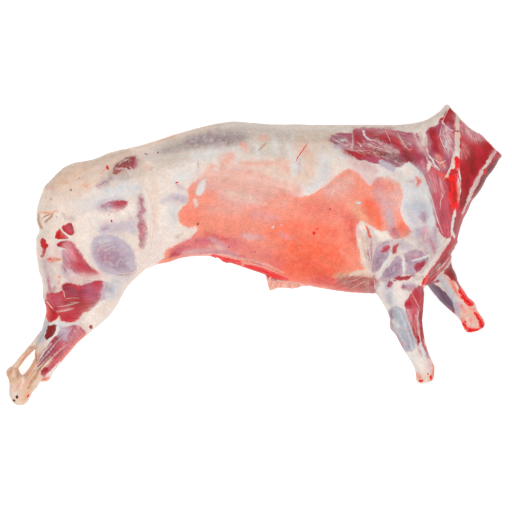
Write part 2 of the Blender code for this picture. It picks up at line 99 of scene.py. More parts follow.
# Colours of the tissues and of what tints them. Putty, brown, grey and dusk also serve as painted shade
# along the back's upper edge, and white film and ice as a painted sheen on the rump
TONES = {
    "cream": "F2E4DA",
    "peach": "EBD0BE",
    "orange_fat": "EDB08C",
    "putty": "D3C6BA",
    "grey": "BDB2A9",
    "brown": "CDB49F",
    "white_film": "E3DFDB",
    "ice": "CBCDD2",
    "steel": "AEB4BE",
    "lavender": "C3B9C6",
    "mauve": "BBA2B0",
    "lilac": "9C8096",
    "dusk": "A28E91",
    "dusty": "D8C5BF",
    "pink": "E5C1BC",
    "rib_peach": "F2B8A6",
    "rib_beige": "E6C7B5",
    "tan": "E2BD9E",
    "tan_dark": "BC8460",
    "salmon": "FB9A84",
    "apricot": "EFB1A4",
    "salmon_deep": "FF7254",
    "salmon_red": "E85F57",
    "flank_pink": "E88184",
    "flank_rose": "C55F76",
    "flank_mauve": "DCA0A6",
    "rose": "C8606C",
    "blush": "D48C94",
    "red_meat": "BD3E48",
    "crimson": "AF2C3E",
    "garnet": "8E1E2F",
    "maroon": "701D2D",
    "plum": "8D4C64",
    "berry": "B25A6E",
    "violet": "7E6578",
    "brick_brown": "B4625A",
    "scarlet": "CC2C26",
    "blood": "F8180C",
    "coral": "F2775C",
    # the inside of the belly, the torn edge and the neck's cut
    "belly_raw": "EE3A2E",
    "belly_hem": "F0AE9C",
    "torn_flesh": "F0836E",
    "torn_fold": "FBCBB8",
    "torn_mauve": "C9A9B4",
    "bone": "E9CDBB",
    "marrow": "B9484A",
    "neck_fat": "E8D5CB",
    # clouds and flecks within a tissue
    "flushed_fat": "EBB3A0",
    "chilled_fat": "C9CBCD",
    "warm_tendon": "E3C3B2",
    "dull_tendon": "D3B5AF",
    # the floor
    "opal": "C6C6C5",
    "opal_cloud": "C0C0BF",
}


def colour_of(tone):
    """A tone as linear red, green and blue."""
    return np.array(linear(TONES[tone]))


def filled(tone):
    """A tone as the socket of a node takes it."""
    return (*linear(TONES[tone]), 1)


# ---- the tissues, as they show in the picture ----

# kind: meat bares flesh, film covers it with fat or silverskin, tint only colours. edge: softness in pixels
# fibres: their direction in degrees, or None where none show. outline: points round the patch.
Patch = namedtuple("Patch", "kind tone edge fibres outline")
# A stroke of a soft brush. kind: as for Patch, or veil. size: half width in pixels. strength: from 0 to 1
Stroke = namedtuple("Stroke", "kind tone size strength points")


def brush(kind):
    """What makes strokes of that kind."""
    return lambda tone, size, strength, *points: Stroke(kind, tone, size, strength, points)


tint, meat, film = (brush(kind) for kind in ("tint", "meat", "film"))


def veil(size, strength, *points):
    """A stroke that lays a torn whitish veil over flesh."""
    return Stroke("veil", None, size, strength, points)


RUMP = [
    tint("peach", 26, 0.95, (62, 202), (80, 186), (112, 168)),
    tint("peach", 12, 0.9, (112, 164), (140, 155), (178, 142)),
    # Painted shade: this brown stroke darkens the rump's upper edge, where it turns away from the light
    tint("brown", 5, 0.6, (48, 186), (60, 173), (76, 166), (100, 160), (128, 152)),
    tint("cream", 12, 0.7, (54, 214), (70, 206)),
    tint("orange_fat", 3.5, 0.75, (60, 180), (66, 182)),
    tint("orange_fat", 3, 0.6, (82, 185), (88, 187)),
    tint("orange_fat", 4, 0.6, (145, 169), (150, 168)),
    tint("tan", 6, 0.5, (56, 186), (68, 176), (86, 169)),
    tint("apricot", 2.4, 0.6, (49, 188), (55, 189)),
    # Painted sheen: the next four strokes, in white film, ice and cream, lay a pale bluish sheen across the
    # rump
    tint("white_film", 11, 0.95, (100, 198), (114, 193), (134, 190)),
    tint("white_film", 8, 0.85, (80, 206), (96, 204)),
    tint("ice", 5, 0.5, (106, 192), (120, 188), (136, 187)),
    tint("cream", 4, 0.7, (86, 196), (96, 191)),
    tint("grey", 4, 0.6, (106, 184), (116, 179), (134, 176)),
    tint("lilac", 3.4, 0.5, (98, 186), (105, 182), (112, 178)),
    meat("berry", 1.8, 0.5, (100, 184), (106, 181)),
    tint("ice", 6, 0.5, (146, 157), (160, 153)),
    tint("dusk", 8, 0.5, (113, 173), (126, 168), (136, 162)),
    Patch("meat", "garnet", 2.6, -32, [
        (112, 173), (114, 168), (118, 162), (124, 159), (129, 157), (135, 157), (136, 163), (133, 169),
        (128, 170), (122, 170), (118, 174),
    ]),
    tint("crimson", 3, 0.7, (114, 172), (119, 170), (134, 164)),
    tint("berry", 2.6, 0.7, (131, 168), (135, 166), (136, 160)),
    veil(9, 0.25, (114, 170), (134, 162)),
    veil(1.6, 1, (117, 168), (124, 169), (131, 172)),
    veil(1.2, 1, (119, 163), (124, 160), (131, 160)),
    film("dusty", 0.8, 0.8, (125, 168), (129, 173), (134, 178)),
    film("dusty", 0.6, 0.7, (130, 167), (134, 172)),
    tint("putty", 5, 0.6, (138, 174), (150, 170)),
]

HIP = [
    tint("lavender", 7, 0.6, (103, 205), (112, 204), (120, 200)),
    Patch("meat", "berry", 2, 12, [
        (100, 207), (104, 203), (112, 201), (122, 200), (127, 202), (126, 207), (120, 211.5), (112, 213.5),
        (104, 212),
    ]),
    tint("mauve", 6, 0.9, (100, 208), (108, 208)),
    tint("red_meat", 3, 0.8, (117, 205), (125, 203)),
    tint("cream", 7, 0.95, (92, 218), (108, 217), (126, 215)),
    tint("mauve", 5, 0.6, (103, 229), (112, 227)),
    tint("mauve", 4, 0.6, (118, 226), (126, 225)),
    tint("lavender", 7, 0.7, (102, 229), (128, 227)),
    tint("berry", 1.8, 0.4, (103, 229), (109, 228)),
    tint("lavender", 5, 0.6, (131, 218), (133, 232)),
    tint("cream", 5, 0.8, (132, 204), (132, 212)),
    tint("mauve", 4, 1, (141, 198), (141, 213), (142, 226), (143, 242)),
    meat("berry", 3.4, 0.54, (140, 196), (142, 203), (143.5, 210)),
    tint("crimson", 1.2, 0.7, (140, 198), (142, 204), (143, 208)),
    meat("berry", 4, 0.5, (140.5, 213), (141, 226)),
    meat("berry", 4.6, 1, (143, 226), (144, 235), (143, 245)),
    tint("rose", 2.4, 0.5, (143.5, 228), (144, 238)),
    veil(4, 0.3, (141, 198), (142, 226)),
    tint("cream", 3.5, 0.9, (150, 196), (153, 214), (151, 240), (144, 258)),
    tint("tan", 1, 0.6, (147, 190), (151, 204), (150, 224), (149, 244)),
    Patch("film", "lavender", 3.6, -30, [
        (93, 246), (96, 239), (104, 236), (115, 238), (124, 243), (131, 252), (133, 262), (134, 270),
        (127, 273), (118, 274), (108, 272), (100, 267), (95, 258),
    ]),
    tint("mauve", 13, 1, (104, 254), (119, 262)),
    tint("lilac", 13, 0.42, (102, 252), (122, 258)),
    tint("berry", 6, 0.35, (103, 255), (110, 260)),
    tint("lilac", 5, 0.4, (114, 263), (124, 267)),
    tint("lavender", 5, 0.5, (126, 252), (130, 264)),
    tint("white_film", 3.2, 0.4, (100, 242), (108, 240)),
    # Painted shade: a thin dark line in the furrow along the oval's lower edge
    tint("tan_dark", 1, 0.7, (118, 275), (127, 273.5), (134, 270)),
    tint("cream", 14, 0.95, (164, 204), (162, 232), (150, 258)),
    tint("cream", 8, 0.9, (146, 262), (172, 246)),
    tint("peach", 4, 0.6, (152, 176), (155, 196), (156, 226)),
    tint("cream", 5, 0.8, (86, 222), (84, 236), (88, 250)),
    tint("ice", 8, 0.95, (114, 282), (110, 296)),
    tint("lavender", 5, 0.5, (122, 280), (129, 276)),
    tint("steel", 3.4, 0.7, (107, 286), (110, 291)),
]

TAIL = [
    tint("orange_fat", 1.5, 0.9, (40, 212), (49, 213), (57, 211)),
    tint("tan_dark", 1.4, 0.95, (39, 214), (38.5, 221), (42, 228)),
    tint("tan_dark", 1.2, 0.9, (45, 222), (50, 217), (53, 214)),
    tint("grey", 1.3, 0.55, (62, 213), (66, 219)),
    tint("mauve", 2.5, 0.45, (68, 218), (74, 220)),
    tint("dusty", 8, 0.9, (50, 264), (54, 288)),
    tint("dusty", 5, 0.8, (45, 252), (46, 270)),
    tint("mauve", 2, 0.6, (45, 262), (47, 276), (50, 290)),
    tint("flank_rose", 1.5, 0.7, (48, 276), (50, 290)),
    tint("berry", 1.4, 0.5, (55, 286), (50, 292)),
    tint("coral", 1.4, 0.9, (59, 276), (59.5, 278)),
    tint("coral", 1.3, 0.8, (59, 283), (59, 284)),
    tint("coral", 2.2, 1, (48, 259.5), (55, 259)),
    tint("coral", 1.8, 0.7, (52, 260), (61, 259)),
    tint("pink", 8, 0.5, (44, 250), (60, 252)),
    Patch("meat", "scarlet", 1, None, [
        (40, 243), (43, 238), (48, 245), (46, 249), (44, 256), (41, 257), (42, 250),
    ]),
    veil(2.5, 0.9, (42, 250), (43, 258)),
    Patch("meat", "red_meat", 0.9, 50, [
        (62, 226), (66, 224), (70, 222.5), (73, 226), (74, 232), (70, 236), (66, 232.5), (63, 229),
    ]),
    Patch("meat", "scarlet", 0.9, 50, [
        (56, 233), (60, 228), (62.5, 230), (65, 234), (69, 238), (66, 240), (59, 240), (55, 238),
    ]),
    Patch("meat", "red_meat", 0.9, 10, [
        (57, 245), (60, 241.5), (64, 241), (69, 244), (66, 247.5), (59, 247),
    ]),
    tint("rose", 2.8, 0.7, (68, 227), (72, 231)),
    veil(2, 0.4, (62, 234), (67, 239)),
    tint("crimson", 2, 0.5, (59, 244), (66, 244)),
    film("white_film", 0.8, 1, (61, 229), (66, 235), (72, 239)),
    film("white_film", 0.6, 1, (57, 241), (62, 240.5), (70, 240)),
]

THIGH = [
    Patch("meat", "rose", 2.6, 55, [
        (63, 248), (67, 243), (72, 242), (77, 248), (82, 255), (87, 263), (93, 269), (99, 272), (98, 275),
        (90, 277), (83, 278), (75, 274), (67, 268), (63, 260),
    ]),
    tint("lilac", 3, 0.7, (64, 252), (65, 262)),
    tint("blush", 3, 0.8, (70, 247), (74, 259)),
    tint("red_meat", 2.4, 0.5, (77, 252), (82, 260)),
    tint("red_meat", 4, 0.8, (80, 264), (88, 270), (94, 273)),
    tint("blush", 4, 0.8, (66, 246), (69, 258)),
    veil(4, 0.4, (65, 246), (69, 264)),
    tint("mauve", 3, 0.5, (66, 268), (78, 276)),
    film("white_film", 0.8, 0.8, (58, 249.5), (66, 249)),
    tint("mauve", 4, 0.8, (63, 266), (70, 279)),
    tint("berry", 1.6, 0.7, (63, 262), (66, 271)),
    tint("pink", 4, 0.9, (72, 278), (98, 277)),
    Patch("meat", "red_meat", 1.6, -8, [
        (46, 297), (48, 293.5), (55, 292), (61, 291), (62, 286), (66, 283), (73, 284), (80, 285), (88, 283),
        (95, 281), (102, 281), (103, 289), (101, 299), (96, 306), (90, 311), (84, 313), (79, 318), (74, 322),
        (68, 323), (62, 321), (59, 315), (56, 312), (51, 307), (47, 302),
    ]),
    tint("berry", 12, 1, (88, 290), (93, 299)),
    tint("rose", 7, 1, (52, 296), (59, 303)),
    tint("crimson", 5, 1, (66, 287), (78, 291)),
    tint("garnet", 3.2, 0.7, (65, 288), (72, 291)),
    tint("garnet", 3.5, 0.8, (66, 302), (80, 301)),
    tint("plum", 5, 0.4, (66, 288), (80, 298)),
    tint("crimson", 6, 0.9, (72, 306), (88, 305)),
    tint("red_meat", 5, 0.8, (64, 316), (78, 316)),
    tint("scarlet", 2.6, 0.6, (62, 320), (74, 321)),
    tint("mauve", 2.5, 0.5, (103, 286), (101, 302), (95, 309)),
    film("mauve", 3, 0.35, (104, 284), (102, 300), (96, 309)),
    tint("crimson", 3.4, 0.6, (66, 298), (80, 300)),
    veil(1.1, 0.5, (58, 307), (66, 305.5), (78, 302)),
    veil(1.2, 0.6, (57, 311.5), (66, 310), (73, 308)),
    Patch("meat", "scarlet", 1, 50, [
        (45, 300), (50, 306), (56, 311.5), (58, 316), (55, 321), (49, 324), (46, 316),
    ]),
    tint("red_meat", 3, 0.6, (54, 312), (53, 320)),
    tint("blood", 2.5, 0.45, (47, 306), (48, 318)),
    film("white_film", 2.2, 0.95, (47, 325.5), (56, 323.5), (66, 326), (82, 324)),
    film("cream", 3, 0.95, (88, 318), (104, 303)),
    tint("cream", 8, 0.95, (86, 324), (108, 306)),
    tint("peach", 4, 0.5, (98, 312), (110, 304)),
]

SHANK = [
    tint("tan", 20, 1, (12, 378), (26, 390)),
    tint("tan", 8, 0.9, (20, 366), (36, 348)),
    tint("tan", 8, 0.9, (44, 356), (36, 374)),
    tint("orange_fat", 5, 0.8, (40, 358), (30, 374), (24, 382)),
    tint("dusty", 6, 0.8, (46, 330), (38, 344)),
    tint("steel", 3, 0.9, (46.5, 322), (44, 334), (41, 341)),
    Patch("meat", "garnet", 1, 60, [
        (48, 326), (56, 325), (57, 328), (55, 332), (53, 336), (47, 340), (45, 338), (46, 333),
    ]),
    Patch("meat", "rose", 1.5, 55, [
        (54, 337), (58, 334), (61, 328), (68, 326), (76, 325), (83, 328), (86, 333), (78, 345), (70, 355),
        (60, 364), (53, 370), (48, 375), (43, 377), (40, 373), (37, 365), (38, 361), (42, 354), (48, 345),
    ]),
    tint("blush", 8, 0.7, (80, 331), (58, 357)),
    tint("coral", 3, 0.7, (84, 336), (72, 350), (60, 362)),
    tint("red_meat", 4.5, 0.7, (60, 347), (54, 358)),
    tint("brick_brown", 6, 0.2, (70, 342), (60, 354)),
    tint("plum", 4, 1, (57, 339), (49, 350), (41, 359)),
    tint("crimson", 2.6, 0.8, (55, 338), (52, 345)),
    tint("lavender", 5, 0.9, (61, 328), (64, 336)),
    tint("lilac", 3, 0.6, (59, 333), (66, 337)),
    tint("mauve", 4, 0.8, (70, 328), (66, 337)),
    tint("berry", 3, 0.7, (74, 328), (70, 337)),
    veil(1.6, 0.6, (78, 327), (70, 340)),
    veil(1, 0.7, (61, 337), (56, 343), (51, 349), (46, 355), (40, 361)),
    veil(1, 0.6, (66, 345), (58, 352), (51, 359), (44, 367)),
    film("white_film", 1.3, 1, (57.5, 327), (56, 333), (51, 339), (45, 344)),
    film("dusty", 0.7, 0.6, (52, 343), (46, 350), (40, 358)),
    film("tan", 1.6, 0.9, (50, 357), (44, 363), (38, 369)),
    tint("tan", 2.4, 0.7, (50, 360), (42, 370)),
    film("peach", 0.8, 0.9, (48, 363), (43, 368), (40, 373)),
    tint("maroon", 0.9, 0.8, (53, 355), (45, 361), (38, 367)),
    tint("garnet", 0.9, 0.8, (47, 361), (41, 367), (38, 371)),
    meat("crimson", 1.7, 0.9, (43, 372), (46.5, 369)),
    film("cream", 2, 0.95, (60, 363), (54, 370), (48, 376)),
    tint("coral", 2, 0.7, (43, 379), (48, 378)),
    tint("cream", 4, 0.7, (13, 386), (15, 396)),
    tint("orange_fat", 4, 0.5, (10, 370), (11, 387)),
    tint("tan_dark", 3.4, 0.35, (22, 382), (30, 376), (36, 370)),
    tint("tan_dark", 1.4, 0.8, (30, 384), (36, 376), (39, 370)),
    tint("tan_dark", 1.2, 0.8, (24, 356), (29, 350), (33, 347)),
    tint("tan_dark", 1.1, 0.8, (37, 362), (36, 354)),
    tint("coral", 1.2, 0.5, (20, 362), (32, 350)),
    tint("tan_dark", 1.4, 0.6, (16, 372), (18, 379)),
    tint("tan_dark", 1.3, 0.6, (12, 368), (10, 375)),
    tint("orange_fat", 2, 0.7, (30, 388), (25, 397), (20, 402)),
    tint("cream", 1.4, 0.8, (20, 372), (23, 380), (20, 388)),
    tint("coral", 1.2, 0.4, (14, 391), (20, 386), (27, 382)),
    tint("tan_dark", 1.3, 0.6, (34, 378), (28, 388)),
    tint("tan_dark", 1.6, 0.6, (8, 372), (8, 380), (9, 388)),
    tint("tan_dark", 1.4, 0.5, (17, 396), (18, 398)),
]

BACK = [
    # Painted shade: up to the first white stroke, the putty, brown, grey and dusk strokes darken the back's
    # upper edge, where it turns away from the light, over the back fat's own grey-beige; the peach and
    # orange ones are the fat's colour
    tint("putty", 16, 0.95, (170, 146), (210, 136), (262, 134), (330, 136)),
    tint("brown", 4, 0.5, (170, 140), (196, 132), (216, 128)),
    tint("peach", 3.5, 0.8, (176, 136), (200, 130), (214, 127)),
    tint("orange_fat", 2, 0.5, (150, 143), (176, 135)),
    tint("grey", 6, 0.95, (164, 152), (186, 146), (214, 140), (246, 136)),
    tint("dusk", 8.5, 0.8, (192, 142), (208, 139), (224, 139), (238, 139)),
    tint("dusk", 5, 0.35, (166, 152), (190, 145)),
    tint("grey", 4, 0.4, (240, 128), (268, 129)),
    tint("grey", 5, 0.5, (262, 136), (288, 136)),
    tint("white_film", 6, 0.9, (180, 161), (204, 156), (232, 152)),
    tint("cream", 8, 0.7, (168, 168), (196, 165)),
    tint("putty", 7, 0.8, (160, 162), (186, 157)),
    tint("white_film", 7, 0.8, (176, 178), (196, 172)),
    # Painted shade: this brown stroke darkens the loin's upper edge, where it turns away from the light
    tint("brown", 8, 0.6, (300, 138), (332, 140), (344, 146)),
    tint("white_film", 8, 0.95, (324, 160), (322, 180), (308, 188)),
    tint("white_film", 5, 0.8, (336, 152), (350, 162)),
    tint("ice", 5, 0.5, (326, 164), (322, 178)),
    tint("rib_beige", 8, 0.7, (246, 172), (284, 172), (300, 180)),
    tint("apricot", 3.4, 0.9, (243, 144), (247, 151)),
    tint("rib_peach", 3.5, 0.6, (259, 139), (267, 137)),
    tint("rib_peach", 3.6, 0.9, (240, 163), (258, 164), (276, 163)),
    tint("rib_peach", 6, 1, (223, 167), (226, 161), (232, 156)),
    tint("rib_peach", 3.4, 1, (212, 167), (204, 178)),
    tint("rib_peach", 6, 0.8, (282, 160), (287, 170)),
    tint("rib_beige", 8, 0.95, (304, 149), (310, 160), (307, 176)),
    tint("rib_peach", 4, 0.5, (300, 146), (306, 152)),
    tint("putty", 6, 0.8, (252, 151), (270, 149), (286, 154)),
    tint("lavender", 2, 0.6, (300, 158), (299, 172)),
    tint("white_film", 3, 0.8, (256, 146), (258, 156)),
    tint("white_film", 4, 0.8, (274, 142), (276, 151)),
    tint("white_film", 3, 0.7, (288, 146), (290, 156)),
    tint("white_film", 3, 0.8, (238, 148), (237, 160)),
    tint("white_film", 3.5, 0.8, (294, 162), (293, 174)),
    tint("tan_dark", 0.9, 0.7, (259, 150), (263, 147), (266, 143)),
    tint("lavender", 5, 0.8, (164, 201), (178, 197), (190, 200)),
    tint("mauve", 2.5, 0.6, (174, 198), (188, 202)),
    tint("ice", 6, 0.6, (174, 208), (172, 222)),
    tint("brown", 1.4, 0.6, (176, 237), (182, 234)),
    tint("tan_dark", 0.9, 0.7, (198, 163), (198.5, 168)),
    tint("mauve", 2.6, 0.5, (176, 184), (186, 190)),
]

FLANK = [
    tint("apricot", 4, 0.7, (206, 178), (224, 175), (246, 175), (270, 184), (300, 191)),
    tint("rib_peach", 6, 0.8, (206, 180), (236, 174), (262, 180), (296, 188)),
    Patch("tint", "apricot", 4, None, [
        (206, 179), (222, 176), (240, 176), (256, 180), (270, 187), (284, 191), (298, 193), (300, 200),
        (280, 208), (250, 210), (228, 206), (208, 192),
    ]),
    Patch("meat", "salmon", 2.2, None, [
        (157, 264), (163, 258), (165, 252), (171, 247), (180, 243), (190, 239), (193, 235), (198, 230),
        (196, 227), (188, 228), (181, 223), (178, 215), (181, 208), (188, 203), (188, 196), (188, 189),
        (191, 184), (197, 180), (206, 179), (214, 190), (230, 200), (250, 204), (268, 205), (284, 200),
        (297, 197), (305, 196.5), (312, 194), (324, 187), (333, 179), (344, 170), (352, 169), (360, 173),
        (366, 179), (371, 184), (376, 178), (387, 175), (396, 181), (402, 187), (404, 195), (401, 207),
        (403, 218), (409, 226), (411, 232), (405, 238), (396, 239), (391, 238), (387, 231), (381, 232),
        (374, 228), (368, 224), (361, 221), (358, 224), (357, 234), (360, 247), (363, 262), (366, 270),
        (352, 275), (374, 286), (374, 300), (330, 300), (270, 292), (240, 270), (200, 258), (170, 264),
    ]),
    meat("apricot", 9, 0.8, (210, 184), (232, 191), (256, 195), (282, 197)),
    meat("apricot", 7, 0.5, (214, 180), (240, 181), (266, 188), (290, 195)),
    tint("apricot", 14, 1, (206, 184), (236, 184), (262, 189)),
    tint("apricot", 10, 0.9, (228, 198), (250, 200)),
    tint("salmon", 6, 0.7, (266, 206), (284, 198), (298, 202)),
    tint("apricot", 10, 0.9, (330, 192), (348, 182)),
    tint("apricot", 6, 0.6, (212, 210), (240, 212)),
    tint("rib_peach", 6, 0.8, (216, 179), (250, 180), (272, 188)),
    tint("rib_beige", 4, 0.6, (228, 193), (254, 198)),
    tint("salmon", 5, 0.9, (206, 197), (214, 194)),
    tint("salmon_deep", 8, 0.35, (188, 214), (196, 220)),
    tint("salmon", 9, 0.8, (206, 224), (250, 226)),
    tint("salmon_deep", 20, 0.9, (296, 246), (336, 254)),
    tint("salmon_deep", 8, 0.6, (312, 228), (336, 232)),
    tint("salmon_deep", 6, 0.8, (280, 270), (298, 280)),
    tint("salmon_deep", 12, 0.9, (276, 262), (300, 272), (330, 274)),
    tint("salmon_deep", 9, 0.6, (272, 232), (300, 226)),
    tint("salmon_red", 8, 0.6, (348, 216), (354, 240)),
    tint("salmon_red", 10, 0.4, (308, 209), (336, 211)),
    tint("salmon_red", 7, 0.35, (300, 262), (318, 270)),
    tint("flank_pink", 7, 0.95, (176, 252), (200, 243), (236, 243)),
    tint("flank_pink", 8, 0.5, (236, 246), (262, 254), (280, 264)),
    tint("flank_pink", 2, 0.6, (228, 252), (252, 260), (276, 268)),
    tint("flank_rose", 4, 0.6, (172, 255), (182, 250)),
    tint("red_meat", 2.4, 0.6, (170, 257), (178, 254)),
    tint("flank_rose", 3.5, 0.5, (198, 241), (216, 239)),
    tint("flank_mauve", 3, 0.8, (184, 253), (214, 251), (236, 255)),
    tint("flank_mauve", 4, 0.6, (211, 238), (224, 248)),
    film("rib_peach", 2.6, 0.45, (209, 246), (222, 248)),
    tint("salmon_red", 3, 0.5, (206, 234), (226, 240)),
    tint("flank_mauve", 3.4, 0.6, (242, 236), (262, 238)),
    tint("flank_mauve", 5, 0.5, (252, 214), (276, 218)),
    tint("flank_mauve", 3, 0.5, (280, 234), (290, 238)),
    tint("coral", 8, 0.9, (368, 204), (372, 216)),
    tint("salmon_deep", 5, 0.9, (369, 203), (377, 210), (379, 224)),
    tint("orange_fat", 3.5, 0.7, (350, 204), (358, 212), (366, 220)),
    tint("flank_pink", 6, 0.5, (376, 180), (384, 188)),
    tint("apricot", 7, 0.9, (394, 186), (397, 206)),
    tint("coral", 2, 0.5, (389, 177), (393, 190)),
    tint("flank_mauve", 6, 0.8, (378, 192), (386, 206), (390, 220)),
    tint("mauve", 4, 0.6, (389, 212), (391, 232)),
    tint("flank_rose", 4, 0.8, (394, 230), (398, 236)),
    tint("coral", 5.5, 1, (402, 226), (406, 234)),
    Patch("film", "white_film", 2.4, None, [
        (200, 182), (205, 180), (205, 186), (203, 192), (198, 195), (196, 192), (198, 186),
    ]),
    film("white_film", 3, 0.48, (195, 200), (196, 205)),
    film("white_film", 2.4, 0.55, (357, 203), (360, 203)),
    film("pink", 3, 0.6, (355, 168), (362, 174), (370, 182)),
    film("pink", 1.4, 0.4, (371, 190), (372, 198)),
    veil(9, 0.45, (334, 188), (348, 178)),
    veil(7, 0.5, (382, 192), (390, 222)),
    veil(3.5, 0.6, (211, 239), (226, 248)),
    veil(2.5, 0.6, (184, 253), (216, 251), (236, 256)),
    veil(2.4, 0.9, (244, 236), (258, 239)),
    veil(2, 0.5, (340, 250), (352, 262)),
    tint("flank_rose", 1.4, 0.6, (200, 254), (222, 252), (246, 259), (262, 266)),
    tint("rib_peach", 1, 0.8, (190, 256), (216, 254.5), (240, 258), (264, 264), (284, 273)),
    meat("blood", 2.4, 1, (214, 257), (222, 260), (231, 262), (239, 263.5)),
    meat("blood", 2.4, 1, (246, 267), (255, 269), (265, 272.5), (276, 277), (286, 280)),
    tint("scarlet", 1.2, 0.8, (222, 262), (234, 263.5)),
    tint("crimson", 0.9, 0.8, (248, 268.5), (262, 273)),
]

BRISKET = [
    Patch("meat", "brick_brown", 4.5, -28, [
        (338, 281), (342, 276), (352, 276), (364, 275), (377, 277), (379, 294), (348, 294), (336, 288),
    ]),
    tint("salmon_red", 4, 0.7, (330, 289), (346, 291), (362, 293)),
    tint("crimson", 3.4, 0.7, (350, 281), (362, 285)),
    tint("salmon_red", 4, 0.6, (318, 282), (336, 284)),
    tint("orange_fat", 2.5, 0.7, (334, 276), (350, 274), (366, 273)),
    veil(7, 0.3, (342, 280), (370, 283)),
    tint("salmon_red", 5, 0.9, (314, 281), (332, 281)),
    meat("crimson", 2.8, 1, (371.5, 283), (374.5, 291)),
    film("cream", 4, 0.95, (361, 229), (363, 244), (367, 262)),
    film("dusty", 4, 0.9, (370, 232), (374, 244), (372, 264)),
    film("cream", 2, 0.9, (376, 232), (385, 236), (394, 241)),
    tint("flank_mauve", 2, 0.7, (358, 228), (359, 238)),
    tint("mauve", 1, 0.7, (361, 232), (363, 246), (366, 260)),
    tint("tan", 1, 0.7, (363, 230), (365, 242), (368, 256)),
    tint("brick_brown", 0.8, 0.5, (365, 250), (367, 262), (370, 270)),
    meat("coral", 1.4, 1, (366, 226), (368, 231), (371, 238)),
    tint("brick_brown", 1.2, 0.6, (368, 228), (370, 238)),
    tint("tan", 4, 0.5, (361, 236), (364, 256)),
    tint("mauve", 1.5, 0.8, (366, 234), (368, 248), (371, 260)),
    tint("rose", 1.2, 0.6, (371, 240), (371, 252), (372, 266)),
    tint("berry", 0.9, 0.6, (368, 250), (369, 262)),
    tint("peach", 3, 0.8, (362, 262), (370, 272)),
    film("rib_beige", 2, 0.8, (350, 275), (360, 272.5), (371, 276)),
    tint("tan_dark", 1, 0.5, (354, 276), (364, 275), (371, 279)),
]

WITHERS = [
    tint("white_film", 6, 0.8, (356, 166), (376, 172), (398, 176)),
    tint("pink", 4, 0.9, (350, 162), (366, 170), (376, 172)),
    tint("blush", 3, 0.4, (362, 164), (372, 168)),
    # Painted shade: a putty band along the upper edge of the withers, where it turns away from the light,
    # over the fat's own grey-beige
    tint("putty", 5, 0.95, (330, 128), (400, 127), (428, 121), (448, 107)),
    Patch("meat", "berry", 1.3, 25, [
        (330, 140), (333, 135), (340, 133), (350, 133), (353, 129), (362, 128), (374, 128), (386, 129),
        (397, 130), (406, 132), (413, 134), (416, 146), (421, 150), (426, 156), (427, 166), (425, 178),
        (420, 174), (414, 166), (407, 163), (403, 166), (401, 171), (394, 168), (387, 165), (378, 164),
        (368, 162), (359, 159), (351, 155), (344, 149), (336, 145),
    ]),
    tint("plum", 5, 0.8, (333, 140), (345, 140)),
    tint("mauve", 3, 0.7, (336, 146), (352, 150)),
    tint("crimson", 4.5, 0.9, (355, 132), (360, 142)),
    tint("crimson", 4, 0.95, (366, 131), (374, 135)),
    tint("crimson", 5, 0.9, (377, 133), (387, 141)),
    tint("crimson", 6, 0.95, (389, 132), (398, 143), (404, 150)),
    tint("red_meat", 4, 0.9, (390, 133), (396, 140), (401, 147)),
    tint("crimson", 5.5, 0.95, (348, 152), (360, 154), (372, 152), (384, 153)),
    tint("garnet", 3, 0.8, (374, 150), (386, 156)),
    tint("maroon", 5, 0.7, (386, 154), (400, 160)),
    tint("plum", 4, 0.6, (388, 158), (400, 165)),
    tint("garnet", 4.5, 1, (406, 154), (411, 160)),
    tint("red_meat", 4.5, 1, (411, 150), (418, 153), (423, 160)),
    tint("mauve", 4, 0.7, (418, 168), (424, 176)),
    veil(5, 0.8, (335, 138), (350, 146)),
    veil(4, 0.7, (364, 144), (374, 146), (390, 151)),
    veil(2.5, 0.9, (376, 140), (388, 147), (398, 152)),
    veil(3, 0.6, (352, 148), (370, 152), (384, 157)),
    veil(4, 0.3, (403, 134), (411, 144)),
    veil(4, 0.6, (386, 156), (402, 164)),
    film("dusty", 1, 0.6, (352, 130), (352.5, 140), (352, 149)),
    film("white_film", 1.2, 0.8, (363, 131), (365, 136), (369, 139), (373, 140)),
    film("white_film", 1.1, 0.7, (358, 143), (361, 146)),
    film("lavender", 2.8, 0.95, (381, 162), (390, 167), (400, 172)),
    tint("lilac", 1.8, 0.6, (384, 161), (394, 166)),
    film("lavender", 1.4, 0.6, (408, 144), (411, 145)),
    veil(1.4, 0.8, (398, 134), (402, 141), (406, 147)),
    meat("berry", 1.4, 0.7, (417, 135), (419, 141)),
    meat("berry", 5, 0.45, (414, 136), (420, 147), (426, 159)),
    tint("blush", 5, 0.5, (414, 138), (422, 150)),
    tint("grey", 1, 0.7, (420, 132), (421, 146)),
    veil(4, 0.4, (415, 138), (425, 152)),
    tint("blush", 3, 0.7, (422, 162), (425, 170)),
]

